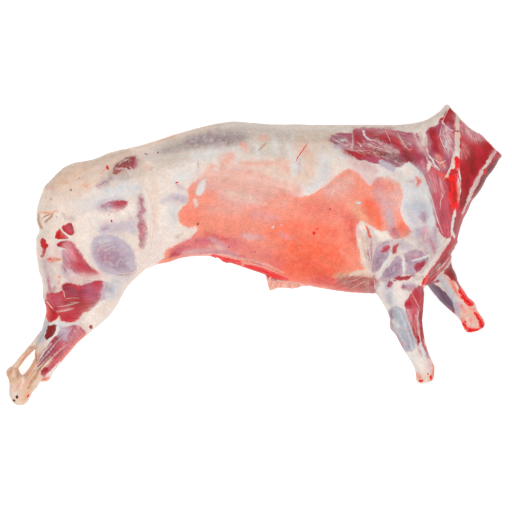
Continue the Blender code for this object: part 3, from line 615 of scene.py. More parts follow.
NECK = [
    Patch("meat", "berry", 1.6, 66, [
        (432, 127), (438, 124), (441, 118), (447, 122), (455, 124), (455, 134), (455, 148), (454, 156),
        (448, 175), (440, 172), (434, 166), (428, 158), (425, 148), (425, 136), (427, 130),
    ]),
    tint("crimson", 5, 1, (432, 131), (435, 142), (438, 150)),
    tint("red_meat", 3.5, 0.9, (436, 138), (439, 148), (441, 156)),
    tint("coral", 3, 0.5, (438, 156), (444, 166)),
    tint("blush", 4, 0.6, (446, 128), (450, 148)),
    veil(5.5, 1, (446, 130), (449, 152)),
    veil(3, 0.7, (426, 136), (428, 150)),
    veil(3, 0.6, (436, 156), (444, 168)),
    film("lavender", 1.8, 0.7, (446, 141), (449, 150)),
    film("dusty", 1.2, 0.6, (426, 136), (427, 150), (430, 157)),
    Patch("meat", "crimson", 1.1, 62, [
        (440, 120), (446, 113), (451, 107), (456, 112), (456, 122), (455, 125), (448, 122),
    ]),
    tint("crimson", 3, 0.8, (447, 113), (453, 119)),
    film("dusty", 0.8, 0.8, (442, 121), (447, 127), (453, 131)),
    Patch("meat", "rose", 1.4, 72, [
        (425, 178), (428, 171), (432, 165), (438, 170), (446, 176), (452, 170), (457, 166), (458, 184),
        (457, 200), (454, 212), (452, 226), (450, 238), (443, 237), (438, 228), (434, 217), (432, 203),
        (429, 190),
    ]),
    tint("blush", 4, 0.6, (428, 176), (432, 190)),
    tint("mauve", 2, 0.7, (428, 182), (432, 202), (437, 222)),
    veil(3.4, 0.5, (431, 174), (436, 190)),
    veil(2, 0.5, (440, 178), (443, 196)),
    film("white_film", 0.9, 0.9, (430, 156), (434, 163), (440, 170)),
    Patch("meat", "red_meat", 1, 66, [
        (457, 114), (461, 119), (466, 125), (471, 129), (481, 133), (487, 139), (494, 145), (505, 152),
        (500, 166), (488, 184), (478, 198), (468, 214), (459, 226), (456, 212), (459, 200), (460, 178),
        (459, 160), (460, 137),
    ]),
    tint("blush", 7, 0.95, (458, 118), (470, 130), (484, 136)),
    tint("berry", 4, 0.7, (462, 128), (476, 136)),
    tint("crimson", 8, 0.95, (470, 150), (474, 172)),
    tint("crimson", 5, 0.95, (482, 142), (490, 152), (484, 162)),
    tint("garnet", 4, 0.8, (471, 152), (473, 172)),
    tint("garnet", 4, 0.8, (468, 180), (463, 204)),
    tint("crimson", 4, 0.95, (464, 166), (462, 196)),
    veil(5, 0.7, (464, 130), (480, 139)),
    veil(3, 0.5, (464, 144), (467, 156)),
    veil(2, 0.8, (461, 150), (461, 158)),
    film("putty", 1.6, 0.9, (456.5, 111), (457.5, 122), (458, 138), (457, 151)),
    tint("rib_peach", 2, 0.6, (457, 124), (458, 138)),
    tint("crimson", 0.9, 0.9, (452, 131.5), (461, 131.5)),
    tint("garnet", 4, 0.9, (497, 160), (489, 172), (480, 187), (474, 195)),
    film(
        "dusty", 1.9, 0.85,
        (495, 152), (488, 162), (482, 171), (478, 178), (474, 186), (470.5, 194), (468, 200),
    ),
    film("dusty", 1.3, 0.8, (470, 196), (466, 205), (462, 214)),
    tint("blush", 2.4, 0.7, (496, 151), (491, 157)),
    tint("blush", 1.8, 0.5, (480, 174), (472, 190)),
    meat("garnet", 1.7, 0.9, (492, 166), (485, 177), (477, 190)),
    meat("scarlet", 1.6, 1, (484, 170), (486, 174)),
    tint("maroon", 1.6, 0.8, (498, 160), (492, 168), (485, 178), (479, 188)),
    meat("blood", 3.8, 1, (451, 174), (453, 190), (455, 206)),
    meat("blood", 2.4, 1, (456, 158), (457, 166)),
    meat("scarlet", 2.4, 0.95, (450, 172), (455, 172)),
    meat("salmon_red", 2, 0.9, (441, 173), (447, 180)),
    tint("scarlet", 1.4, 0.7, (444, 178), (449, 182)),
    tint("coral", 1.4, 0.8, (458, 184), (458, 200)),
    tint("scarlet", 1.6, 0.7, (453, 182), (455, 200)),
    tint("scarlet", 2, 0.8, (451, 206), (451, 216)),
    film("dusty", 1, 0.8, (454, 152), (452, 163), (447, 176)),
    film("white_film", 0.9, 0.7, (459, 172), (460, 182), (460, 194)),
]

BLADE = [
    Patch("film", "white_film", 3, 60, [
        (396, 172), (403, 166), (406, 163), (413, 164), (421, 174), (427, 186), (431, 200), (434, 217),
        (436, 228), (424, 232), (410, 226), (403, 216), (402, 205), (404, 194), (402, 184),
    ]),
    tint("putty", 5, 0.6, (397, 174), (404, 180)),
    tint("ice", 13, 0.45, (413, 184), (415, 200)),
    tint("cream", 4, 0.9, (404, 168), (412, 174)),
    tint("ice", 8, 1, (410, 206), (426, 212)),
    tint("steel", 5, 0.55, (412, 208), (424, 206)),
    tint("mauve", 4, 1, (423, 213), (424, 221)),
    tint("lilac", 3, 0.6, (423, 214), (423.5, 219)),
    tint("lavender", 5, 0.7, (410, 214), (416, 222)),
    tint("coral", 2, 0.9, (416, 178), (420, 182)),
    tint("coral", 1.7, 0.8, (417, 186), (419, 182)),
    tint("scarlet", 0.8, 0.5, (417, 184), (421, 180)),
    tint("flank_rose", 0.8, 0.4, (406, 181), (414, 183)),
    tint("dusty", 12, 0.9, (400, 246), (436, 246)),
    tint("lavender", 8, 0.9, (418, 232), (434, 246)),
    tint("mauve", 6, 0.9, (424, 230), (426, 244)),
    tint("flank_mauve", 3, 0.8, (425, 229), (426, 243)),
    tint("mauve", 4, 0.8, (436, 228), (434, 242), (434, 252)),
    tint("rose", 1.6, 0.6, (431, 240), (434, 252)),
    tint("mauve", 3, 0.5, (389, 241), (402, 243)),
    tint("white_film", 3, 0.7, (404, 241), (414, 243)),
    tint("lavender", 4, 0.7, (402, 246), (412, 250)),
]

ARM = [
    tint("white_film", 12, 0.95, (382, 290), (398, 292)),
    tint("cream", 6, 0.8, (398, 286), (401, 300)),
    tint("lavender", 4, 0.7, (387, 284), (388, 300)),
    tint("ice", 6, 0.6, (394, 300), (398, 308)),
    tint("steel", 3, 0.6, (390, 294), (391, 304)),
    Patch("film", "mauve", 2, 60, [
        (373, 270), (374, 258), (376, 249), (379, 244), (385, 242), (390, 244), (391, 250), (388, 256),
        (384, 262), (379, 268), (375, 272),
    ]),
    tint("lilac", 4, 0.7, (380, 256), (377, 266)),
    Patch("meat", "rose", 1.6, -40, [
        (380, 252), (382, 248), (387, 245), (390, 245.5), (389, 249.5), (384, 252.5),
    ]),
    Patch("meat", "rose", 1.4, -60, [
        (391, 249), (394, 246), (399, 243), (397.5, 248), (396, 253), (392, 253.5),
    ]),
    Patch("film", "mauve", 1.8, 40, [
        (398, 257), (401, 259), (402.5, 265), (402, 272), (398, 277), (390, 279), (381, 280.5), (384, 273),
        (390, 266), (394, 261),
    ]),
    tint("lilac", 5, 1, (388, 274), (398, 265)),
    Patch("film", "mauve", 2, 20, [
        (402, 259), (406, 254), (412, 251), (420, 252), (428, 255), (430, 260), (427, 266), (420, 271),
        (412, 273), (405, 273), (403, 268),
    ]),
    tint("lilac", 5, 0.9, (407, 260), (418, 256), (427, 257)),
    tint("flank_mauve", 3, 0.5, (410, 256), (424, 255)),
    tint("lilac", 3, 0.5, (420, 258), (428, 260)),
    Patch("meat", "berry", 1.6, -40, [
        (414, 269), (416, 264), (420, 261), (425, 260), (425, 264), (422, 269), (417, 272),
    ]),
    tint("crimson", 2.4, 0.8, (418, 267), (423, 264)),
    Patch("meat", "berry", 1, -10, [
        (393, 280), (396, 278), (403, 277), (409, 275.5), (412, 275), (410, 278.5), (404, 280), (397, 281),
    ]),
    tint("crimson", 2, 0.9, (397, 279), (409, 277)),
    tint("plum", 1.6, 0.6, (411, 275), (415, 276)),
    tint("lilac", 4.4, 0.7, (388, 286), (391, 283)),
    meat("berry", 2.4, 0.95, (389, 286), (391, 283)),
    tint("maroon", 1.2, 0.6, (388, 287), (390, 281)),
    film("white_film", 1.7, 0.95, (391, 252), (389, 259), (384, 267), (378, 277)),
    film("dusty", 0.9, 0.8, (391, 243), (390.5, 250)),
    film("white_film", 1, 0.9, (403, 256), (403.5, 264), (404, 272)),
    film("white_film", 0.8, 0.8, (413, 261), (421, 258), (429, 255)),
    film("dusty", 1, 0.8, (430, 254), (428, 264), (421, 273)),
    film("dusty", 2, 0.7, (414, 279), (422, 277)),
    meat("crimson", 2.2, 0.9, (371.5, 284), (373, 291.5)),
]

NEAR_SHIN = [
    tint("lavender", 4, 0.8, (404, 286), (414, 286)),
    meat("berry", 4, 0.62, (404, 287), (411, 288), (417, 288)),
    tint("mauve", 4, 0.7, (408, 286), (414, 287)),
    Patch("meat", "rose", 1.4, 75, [
        (405, 307), (406, 301), (409, 296), (412, 292), (416, 289), (420, 286), (423, 287), (424, 294),
        (424, 304), (423, 316), (423, 330), (424, 340), (428, 352), (430, 360), (426, 357), (421, 348),
        (418, 346), (414, 338), (411, 328), (407, 317),
    ]),
    tint("red_meat", 5, 0.7, (415, 293), (418, 302)),
    tint("coral", 3, 0.25, (413, 297), (416, 304)),
    tint("crimson", 2.4, 1, (423, 290), (423.5, 306), (422.5, 324), (423, 338)),
    tint("red_meat", 3, 1, (407, 304), (411, 304)),
    tint("red_meat", 3, 0.8, (413, 316), (416, 332)),
    tint("crimson", 2, 0.7, (417, 330), (418, 342)),
    veil(3, 0.35, (409, 311), (412, 326)),
    tint("blush", 3, 0.5, (408, 311), (411, 322)),
    tint("garnet", 1.6, 0.45, (421.5, 312), (421.5, 330)),
    veil(1.4, 0.8, (418, 310), (416, 322), (417, 334)),
    film("dusty", 0.8, 0.6, (418.5, 309), (418.5, 322), (419.5, 334), (421.5, 346)),
    film("dusty", 0.8, 0.4, (405, 310), (412, 309.5), (418, 308)),
    film("white_film", 2, 0.9, (421, 344), (424, 356)),
    Patch("film", "steel", 2.6, 70, [
        (391, 309), (397, 308), (402, 311), (406, 316), (409, 324), (412, 332), (415, 342), (414, 348),
        (408, 350), (404, 346), (399, 338), (394, 330), (391, 320),
    ]),
    tint("lilac", 3, 0.6, (407, 327), (410, 338), (410, 346)),
    tint("lilac", 2.4, 0.9, (391.5, 311), (392, 319)),
    tint("white_film", 3, 0.7, (394, 321), (398, 327)),
    tint("white_film", 1, 0.5, (398, 309), (404, 322), (409, 336), (412, 348)),
    tint("mauve", 2.6, 0.9, (393, 330), (399, 341), (405, 350)),
    tint("berry", 1.2, 0.5, (396, 334), (402, 345)),
    tint("brick_brown", 1.2, 0.6, (390, 318), (391, 324), (392, 330)),
    film("white_film", 8, 0.95, (412, 362), (420, 370)),
    tint("mauve", 1.6, 0.7, (418, 346), (421, 357)),
    tint("berry", 1, 0.5, (420, 349), (422, 357)),
    tint("mauve", 1.8, 0.7, (427, 352), (428, 360)),
    tint("cream", 4, 0.9, (418, 358), (422, 372)),
    tint("pink", 4, 0.9, (429, 360), (430, 370)),
    tint("peach", 5, 0.95, (418, 376), (430, 378)),
    tint("coral", 1.6, 0.9, (433, 364), (433, 374), (431, 380)),
    tint("coral", 2.2, 0.6, (417, 374), (421, 381)),
]

FAR_SHIN = [
    Patch("meat", "crimson", 1.4, 60, [
        (440, 270), (444, 262), (450, 254), (454, 264), (459, 277), (466, 291), (463, 293), (457, 285),
        (449, 278),
    ]),
    tint("garnet", 4, 0.9, (449, 260), (454, 276)),
    tint("violet", 1.6, 0.6, (455, 272), (460, 284)),
    Patch("meat", "violet", 1.2, 52, [
        (428, 285), (433, 283), (439, 288), (445, 292), (451, 299), (454, 304), (456, 313), (450, 311),
        (440, 302), (432, 293),
    ]),
    tint("lilac", 3, 0.6, (432, 287), (438, 296)),
    tint("crimson", 1.1, 0.8, (442, 304), (449, 309.5), (456, 313)),
    meat("berry", 2.2, 0.9, (434, 281), (440, 281)),
    film("ice", 2.2, 0.95, (440, 278), (447, 287), (453, 297), (456, 308)),
    tint("steel", 1.4, 0.6, (443, 286), (450, 296), (455, 306)),
    film("pink", 1.6, 1, (441, 271), (448, 280), (455, 289)),
    tint("coral", 2.4, 0.35, (450, 282), (460, 298)),
    meat("garnet", 2.4, 0.5, (450, 262), (453, 271)),
    tint("coral", 1.6, 0.8, (450, 280), (455, 288), (458, 296)),
    film("lavender", 3.5, 0.95, (458, 306), (462, 316)),
    film("peach", 7, 1, (468, 314), (474, 324)),
    tint("coral", 1.2, 0.6, (470, 318), (471, 326)),
    tint("coral", 7, 0.35, (463, 306), (472, 314), (478, 322)),
    tint("coral", 3.4, 0.9, (463, 320), (467, 328), (476, 331), (483, 326)),
    tint("coral", 1.6, 0.7, (461, 306), (464, 312)),
    meat("blood", 2.4, 0.9, (463, 323), (468, 329), (476, 331), (483, 328)),
    meat("blood", 2.6, 0.95, (476, 314), (480, 319), (483, 326)),
    meat("blood", 3.4, 1, (461, 291), (465, 298), (471, 304)),
    tint("coral", 2, 0.6, (470, 308), (478, 312), (482, 320)),
]

THROAT = [
    Patch("meat", "red_meat", 1.2, 125, [
        (455, 219), (459, 216), (462, 222), (461, 238), (458, 248), (452, 258), (444, 269), (434, 280),
        (427, 285), (423, 282), (429, 271), (438, 260), (446, 248), (453, 234),
    ]),
    tint("maroon", 3, 0.8, (457, 219), (457.5, 235)),
    tint("crimson", 3.4, 0.8, (452, 246), (436, 268)),
    tint("maroon", 1, 0.7, (452, 250), (442, 262), (430, 276)),
    tint("rose", 1.2, 0.6, (444, 254), (434, 266)),
    veil(1.4, 0.7, (440, 264), (430, 276)),
    film("white_film", 0.9, 0.95, (455, 212), (452.5, 221), (452, 230), (455, 238)),
    film("dusty", 0.8, 0.8, (460, 246), (453, 258), (445, 269), (434, 281)),
    tint("red_meat", 2.6, 0.7, (451, 246), (443, 258)),
    meat("crimson", 2.2, 0.95, (458, 217), (459, 236)),
    film("dusty", 1, 0.8, (446, 240), (438, 252), (428, 264)),
    film("dusty", 0.7, 0.7, (446, 262), (437, 271)),
    meat("blood", 1.8, 0.95, (427, 277), (423, 284)),
]

TISSUES = RUMP + HIP + TAIL + THIGH + SHANK + BACK + FLANK + BRISKET + WITHERS + BLADE + ARM + NECK
TISSUES += NEAR_SHIN + FAR_SHIN + THROAT

# Low relief: height in millimetres, below 0 for a furrow, half width in pixels, and where it runs
RELIEF = [
    (1, 1.8, [(149, 194), (152, 214), (151, 238), (146, 256), (138, 270)]),
    (-0.9, 2.4, [(156, 190), (158, 214), (157, 236)]),
    (-0.8, 1.5, [(108, 274), (120, 275.5), (134, 271)]),
    (0.8, 7, [(104, 248), (122, 260)]),
    (-1.2, 2, [(60, 290), (62, 284), (80, 280), (101, 278)]),
    (-1, 1.6, [(46, 300), (53, 309), (58, 318)]),
    (-1, 2, [(47, 325), (60, 323), (78, 323)]),
    (1.2, 3, [(40, 211), (50, 211), (58, 209)]),
    (-1.4, 1.4, [(38, 222), (45, 222), (50, 217), (56, 214)]),
    (-0.8, 1.2, [(60, 241), (70, 240), (76, 248)]),
    (-0.9, 1.6, [(60, 228), (66, 236), (72, 243)]),
    (-0.8, 2, [(334, 146), (352, 156), (376, 164), (402, 171)]),
    (0.9, 2.6, [(418, 168), (427, 190), (434, 215)]),
    (0.9, 2.2, [(456, 110), (458, 130), (457, 152)]),
    (0.8, 1.8, [(497, 154), (484, 170), (472, 190), (463, 210)]),
    (-1.4, 2.4, [(355, 224), (357, 242), (363, 264), (372, 282)]),
    (0.9, 1.4, [(360, 228), (363, 246), (369, 266)]),
    (0.7, 1.1, [(366, 230), (370, 246), (374, 262)]),
    (-1, 1.6, [(391, 245), (391, 256), (385, 266), (378, 277)]),
    (-0.9, 1.5, [(403, 254), (402, 266), (396, 278), (384, 281)]),
    (-1, 1.6, [(392, 279), (404, 277), (416, 275), (428, 266)]),
    (-0.9, 1.4, [(408, 295), (416, 304), (420, 314), (420, 332), (424, 350)]),
    (-0.8, 1.5, [(404, 310), (411, 328), (418, 348)]),
    (-0.9, 1.5, [(446, 241), (438, 254), (428, 268)]),
    (0.7, 1, [(212, 252), (240, 259), (264, 265), (286, 276)]),
    (-0.6, 1.2, [(60, 338), (50, 350), (40, 364)]),
    (-0.6, 1.2, [(72, 332), (60, 347), (46, 364)]),
    (0.6, 1.2, [(56, 348), (46, 360), (34, 374)]),
    (0.5, 1.4, [(184, 244), (210, 238), (236, 240)]),
    (-0.8, 2, [(370, 184), (374, 196), (372, 212)]),
]

# The skin is eased sideways here: middle, radius and shift, in pixels
EASED = [
    ((34, 357), 5, (0.7, 0.3)),
    ((46, 187), 8, (-0.8, -0.8)),
    ((41, 230), 10, (4.6, 0)),
    ((43, 283), 14, (1.6, 0)),
    ((45, 310), 13, (1.7, 0)),
    ((8, 383), 13, (2.2, 0)),
    ((40, 382), 8, (-1.4, -2.6)),
    ((92, 159), 20, (0.5, 2.4)),
    ((64, 168), 15, (-0.3, -0.8)),
    ((150, 144), 30, (0.3, 1.3)),
    ((268, 124), 38, (0, 1.5)),
    ((446, 106), 9, (-0.4, -1.6)),
    ((470, 131), 10, (0.2, 1)),
    ((482, 135), 8, (0.2, -1)),
    ((501, 152), 7, (1.8, 0)),
    ((491, 168), 14, (1.2, 0.8)),
    ((479, 188), 18, (1.7, 1.1)),
    ((464, 208), 12, (1, 0.4)),
    ((458, 243), 4, (1.4, 0)),
    ((456, 274), 8, (1.3, -0.6)),
    ((474, 303), 9, (2.8, -0.6)),
    ((484, 323), 12, (3.4, 1.2)),
    ((466, 332), 5, (0, -1.4)),
    ((391, 328), 10, (-3.8, 0)),
    ((424, 289), 5, (-1.4, 0)),
    ((453, 253), 5, (-1.6, 0)),
    ((304, 285), 6, (0, 1.4)),
    ((224, 262), 8, (0, 1.8)),
    ((169, 262), 13, (0, 1.8)),
]

# Strands of silverskin and tendon: half width in millimetres, and the points they run through
STRANDS = [
    (1.3, [(45.5, 300), (49, 304), (53.5, 309.5)]),
    (0.4, [(58, 307), (66, 305.5), (73, 304), (79, 302)]),
    (0.4, [(57, 312.5), (64, 311), (73, 308.5)]),
    (0.6, [(62, 288), (64, 293), (65, 298)]),
    (0.35, [(65, 299.5), (71, 298), (80, 298)]),
    (0.7, [(80, 277), (90, 279.5), (101, 278)]),
    (0.6, [(76, 284), (84, 281), (93, 282)]),
    (0.6, [(61, 229), (67, 236), (73, 242), (80, 250)]),
    (0.4, [(57, 240.5), (63, 239.5), (70, 239.5)]),
    (0.7, [(57, 330), (52, 338), (45, 344), (38, 352)]),
    (0.4, [(62, 336), (56, 343), (51, 349), (46, 355), (40, 361)]),
    (0.4, [(66, 345), (58, 352), (51, 359), (44, 366)]),
    (0.4, [(64, 329), (61, 333), (57, 337)]),
    (0.7, [(47, 324), (45, 333), (41, 342), (38, 350)]),
    (0.45, [(73, 327), (68, 333), (64, 339)]),
    (0.6, [(47, 348), (42, 354), (39, 361), (34, 369)]),
    (0.7, [(47, 359), (40, 366), (33, 375), (25, 386)]),
    (0.6, [(43, 359), (37, 366), (30, 375), (22, 386)]),
    (1.1, [(150, 196), (153, 214), (152, 238), (147, 256), (138, 270)]),
    (0.8, [(147, 204), (150, 224), (148, 246), (141, 263)]),
    (0.8, [(118, 274), (128, 273), (138, 271)]),
    (0.6, [(96, 250), (104, 246), (112, 244)]),
    (0.5, [(101, 253), (108, 249), (114, 247)]),
    (0.5, [(127, 170), (133, 176), (140, 184)]),
    (0.9, [(356, 169), (364, 176), (371, 183)]),
    (0.9, [(420, 168), (425, 180), (430, 194), (434, 208), (438, 221), (443, 234)]),
    (0.6, [(387, 172), (399, 176), (406, 184)]),
    (1.7, [(456, 109), (458, 122), (458, 136), (457, 150)]),
    (0.8, [(456, 150), (453, 162), (448, 172), (443, 180)]),
    (0.7, [(442, 125), (440, 136), (444, 147), (448, 154)]),
    (0.5, [(449, 109), (444, 118), (442, 125)]),
    (0.6, [(424, 152), (430, 163), (437, 170)]),
    (0.8, [(433, 158), (440, 163), (446, 160)]),
    (0.6, [(490, 159), (484, 168), (478.5, 178), (472, 190), (467, 203)]),
    (0.8, [(455.5, 208), (455.5, 214), (452.5, 221), (452, 229), (454, 236)]),
    (0.6, [(446, 190), (441, 200), (440, 210)]),
    (0.8, [(456, 243), (449, 257), (440, 270), (428, 282)]),
    (0.8, [(372, 264), (374, 251), (380, 243), (390, 240), (402, 240), (412, 243)]),
    (0.7, [(412, 243), (420, 249), (428, 256), (434, 262)]),
    (0.9, [(391, 243), (392, 254), (388, 264), (380, 273), (373, 279)]),
    (0.6, [(403, 251), (412, 248), (422, 250), (433, 251)]),
    (0.6, [(399, 256), (405, 262), (407, 271)]),
    (0.6, [(383, 279), (392, 279), (402, 282), (412, 280)]),
    (1.1, [(374, 280), (376, 290), (384, 302)]),
    (0.8, [(433, 252), (441, 247), (448, 240)]),
    (0.7, [(434, 262), (427, 270), (418, 277), (410, 281)]),
    (0.6, [(416, 231), (422, 241), (430, 250)]),
    (0.6, [(428, 227), (425, 239), (431, 250)]),
    (1.1, [(357, 223), (357, 236), (360, 250), (365, 263), (371, 272)]),
    (0.8, [(362, 226), (367, 240), (370, 255), (372, 268)]),
    (0.6, [(366, 225), (372, 233), (374, 245)]),
    (0.7, [(361, 240), (364, 254), (368, 266)]),
    (0.4, [(366, 271), (355, 275), (342, 277)]),
    (0.4, [(367, 274), (355, 280), (343, 283)]),
    (0.35, [(369, 277), (360, 284), (350, 289)]),
    (0.4, [(411, 292), (416, 301), (421, 311)]),
    (0.45, [(419, 309), (417.5, 324), (420, 340), (425, 353)]),
    (0.6, [(405, 315), (411, 330), (415, 344), (419, 358)]),
    (0.5, [(395, 326), (402, 339), (411, 352)]),
    (1, [(441, 272), (448, 282), (455, 292), (461, 303)]),
    (0.4, [(362, 130), (364, 135), (369, 139), (373, 141)]),
    (0.5, [(364, 143), (376, 147), (388, 151), (398, 156)]),
    (0.5, [(385, 130), (388, 136), (391, 142)]),
    (0.55, [(397, 132), (402, 141), (406, 147), (410, 150), (412, 148)]),
    (0.4, [(345, 149), (357, 151), (371, 150)]),
    (0.4, [(380, 142), (390, 148), (400, 157)]),
    (1.5, [(274, 280.5), (281, 281), (289, 282), (298, 284)]),
    (0.5, [(236, 262), (260, 266), (284, 276)]),
]

# Thin streaks of blood, as STRANDS
STREAKS = [
    (1, [(308, 142), (303, 150), (298, 157), (295.5, 163)]),
    (2.6, [(212, 256.5), (220, 258.5), (229, 260.5), (237, 262), (241, 264)]),
    (2.2, [(245, 266), (254, 268.4), (264, 271.6), (274, 275.4), (285, 279)]),
    (1, [(462, 157), (458, 170), (460, 184), (458, 198)]),
    (0.4, [(409, 182), (416, 180), (422, 183)]),
    (0.4, [(100, 174), (103, 171), (106, 168)]),
    (0.5, [(450, 200), (456, 206), (460, 212)]),
]

# Drops and clots: middle in the picture, half sizes in millimetres, turn in degrees, tone
DROPS = [
    ((107.5, 167.5), (2.6, 5.2), 15, "blood"),
    ((111.5, 221), (1.8, 2.6), 20, "blood"),
    ((109, 215), (0.9, 1.2), 0, "blood"),
    ((314, 233), (3, 3), 0, "blood"),
    ((317, 229), (0.9, 3), -40, "blood"),
    ((177, 182.5), (3.4, 1.4), 20, "blood"),
    ((71, 190), (1.5, 1.5), 0, "maroon"),
    ((51, 199), (1.2, 1.2), 0, "maroon"),
    ((79, 178), (0.9, 0.9), 0, "maroon"),
    ((146, 154), (4, 1), 0, "maroon"),
    ((158, 152.5), (1.2, 2.2), -30, "maroon"),
    ((330, 209), (1.4, 1.4), 0, "maroon"),
    ((255, 252), (1.5, 1), 0, "maroon"),
    ((229, 247), (1.5, 1), 0, "maroon"),
    ((198, 224), (1.8, 3), -30, "brick_brown"),
    ((175, 253), (2, 1.4), 0, "blood"),
    ((91, 327), (3.4, 6), 20, "brick_brown"),
    ((28, 396), (2.2, 4), -30, "blood"),
    ((17, 397), (2.4, 3.4), 0, "maroon"),
    ((14, 400.5), (3.6, 2.2), 0, "maroon"),
    ((44, 379.5), (4, 2), 20, "coral"),
    ((273, 279.3), (6.5, 2.6), -10, "flank_mauve"),
    ((421, 381), (4.6, 2.6), 20, "blood"),
    ((431, 377.5), (3, 5), 20, "blood"),
    ((428, 374), (1.6, 1.6), 0, "blood"),
    ((424, 281), (4, 6), -20, "blood"),
    ((426, 277), (2, 4), -10, "blood"),
    ((461, 291.5), (3, 5), 30, "blood"),
    ((464.5, 297.5), (4.6, 7), 45, "blood"),
    ((469.5, 303), (3.4, 5), 40, "blood"),
    ((478, 317), (2.6, 6), 30, "blood"),
    ((481.5, 323), (3.4, 5), 10, "blood"),
    ((482.5, 326), (2, 3), 0, "crimson"),
    ((473, 331), (11, 3.6), 0, "blood"),
    ((465, 322), (2.4, 3), 0, "blood"),
    ((464, 325), (3, 5), 40, "blood"),
    ((449, 185), (3.4, 12), 12, "scarlet"),
    ((455, 197), (3.6, 13), -4, "scarlet"),
    ((457, 160), (3, 7), 16, "blood"),
    ((57, 217), (1, 1), 0, "maroon"),
    ((392, 240), (0.9, 0.9), 0, "maroon"),
    ((403, 240), (0.9, 0.9), 0, "maroon"),
    ((59, 281), (1.2, 1.2), 0, "orange_fat"),
    ((58, 259.5), (9, 1.4), -6, "orange_fat"),
    ((50, 259), (3, 1.2), 0, "red_meat"),
    ((46, 216), (9, 1), 14, "tan_dark"),
    ((42, 219), (3, 1), 50, "orange_fat"),
    ((458, 131), (1.4, 0.8), 0, "maroon"),
    ((203, 213), (0.9, 0.9), 0, "white_film"),
    ((273, 227), (4, 1.6), 50, "white_film"),
    ((281, 225), (1.4, 1), 0, "white_film"),
    ((359, 203), (4.6, 3.4), 0, "white_film"),
]

# The belly opening, as in the solid: its near edge in millimetres, and the height of its middle
BELLY_EDGE = [(-96, -12), (-72, 0), (-44, -4), (-26, -12), (16, -25), (56, -40), (84, -52), (108, -68)]
BELLY_HEIGHT = MIDDLE - 4 * MM
BELLY_REACH = 26 * MM  # how far the inside shows raw
BELLY_HALF = 9 * MM  # how far above and below its middle it ends
BELLY_SOFT = 4 * MM  # how softly it ends there

# The torn belly edge: its free side, its root in the body, and its height
TORN_FREE = [(22, -32), (27, -53), (31.5, -63), (41, -59.5), (56, -57.5), (72, -59.5), (84, -57), (94, -51)]
TORN_ROOT = [(34, -14), (92, -30)]
TORN_HEIGHT = MIDDLE - 13 * MM
TORN_HALF = 2.5 * MM
TORN_FACES = (84, 17)  # points along the edge, and from its root to its free side
TORN_LINE = (-36, -0.19)  # below this line the body is hemmed by it: Y at X = 0 in millimetres, and slope
TORN_SPAN = (18, 100)  # from where to where along X, in millimetres
TORN_REACH = 30 * MM  # how far above and below the belly opening's middle
PLEAT_HEIGHT = 1.5 * MM
PLEAT_TURN = 58  # radians of the pleats' wave from end to end
PALE_FOLDS = (0.52, 0.12)  # where along the edge its folds are palest, and how far that reaches

# The neck's cut, as in the solid, in millimetres
NECK_CUT_MIDDLE = (400, 227.8)
NECK_CUT_TOP = (355, 271)
NECK_CUT_HEIGHT = MIDDLE - 18 * MM
NECK_CUT_DEPTH = 9 * MM  # how far its hollow goes in
NECK_HALVES = (64, 50)
NECK_FAT = (0.88, 0.06)  # where the rim of fat starts, as a share of NECK_HALVES, and how softly
NECK_MUSCLES = ((31, 6, 30), (52, 8, 22.5))  # rings of muscles: radius, how many, degrees to the first
NECK_FLATNESS = 0.8  # how far the rings are squeezed
NECK_SEAM = 1.6  # how wide the white seams between the muscles are
BONE_OFFSET = 12
BONE_WALL = (13, 18)  # from the marrow to the outside of the vertebra

# The pieces of the skin, and from where to where along X each reaches, in metres
SKIN_CUTS = {
    "carcass_hind_legs": (-1.0, -0.312),
    "carcass_hindquarter": (-0.312, -0.127),
    "carcass_flank": (-0.127, 0.082),
    "carcass_chest": (0.082, 0.267),
    "carcass_forequarter": (0.267, 1.0),
}


# ---- what a user would change ----


class CarcassSurface(bpy.types.PropertyGroup):
    """Sizes of the carcass's surface."""

    grain: FloatProperty(
        name="Face size", description="Size of the faces of the skin", default=1.6 * MM, unit="LENGTH"
    )
    passes: IntProperty(name="Smoothing", description="Passes that even out the skin", default=24)
    cover: FloatProperty(
        name="Cover", description="Thickness of fat and silverskin", default=0.9 * MM, unit="LENGTH"
    )
    nodules: FloatProperty(
        name="Nodules", description="Height of the unevenness of the fat", default=0.45 * MM, unit="LENGTH"
    )
    ribs: FloatProperty(
        name="Ribs", description="Height of the ribs under the skin", default=0.7 * MM, unit="LENGTH"
    )


class CarcassFinish(bpy.types.PropertyGroup):
    """Colour and gloss of the carcass."""

    fat: FloatVectorProperty(
        name="Fat", description="Colour of the fat cover", subtype="COLOR", default=linear("EADACD")
    )
    flesh: FloatVectorProperty(
        name="Flesh", description="Colour of bare flesh", subtype="COLOR", default=linear("B8505A")
    )
    silverskin: FloatVectorProperty(
        name="Silverskin",
        description="Colour of veils and strands",
        subtype="COLOR",
        default=linear("E9DAD2"),
    )
    blood: FloatVectorProperty(
        name="Blood", description="Colour of fresh blood", subtype="COLOR", default=linear(TONES["blood"])
    )
    glow: FloatProperty(
        name="Gloss share", description="What gloss adds to a surface's colour", default=0.04
    )


class CarcassStudio(bpy.types.PropertyGroup):
    """The studio round the carcass."""

    distance: FloatProperty(
        name="Camera height", description="Over the carcass's middle plane", default=25.0, unit="LENGTH"
    )
    key: FloatProperty(name="Key light", description="Power of the large light", default=38, unit="POWER")
    fill: FloatProperty(name="Fill light", description="Power of the small light", default=16, unit="POWER")
    sky: FloatProperty(name="Sky", description="Strength of the light from all round", default=0.55)
    table: FloatProperty(name="Floor glow", description="Light of the floor itself", default=0.72)


# ---- meshes ----


def link(name, mesh):
    """A new object for the mesh, in the scene."""
    obj = bpy.data.objects.new(name, mesh)
    bpy.context.scene.collection.objects.link(obj)
    return obj


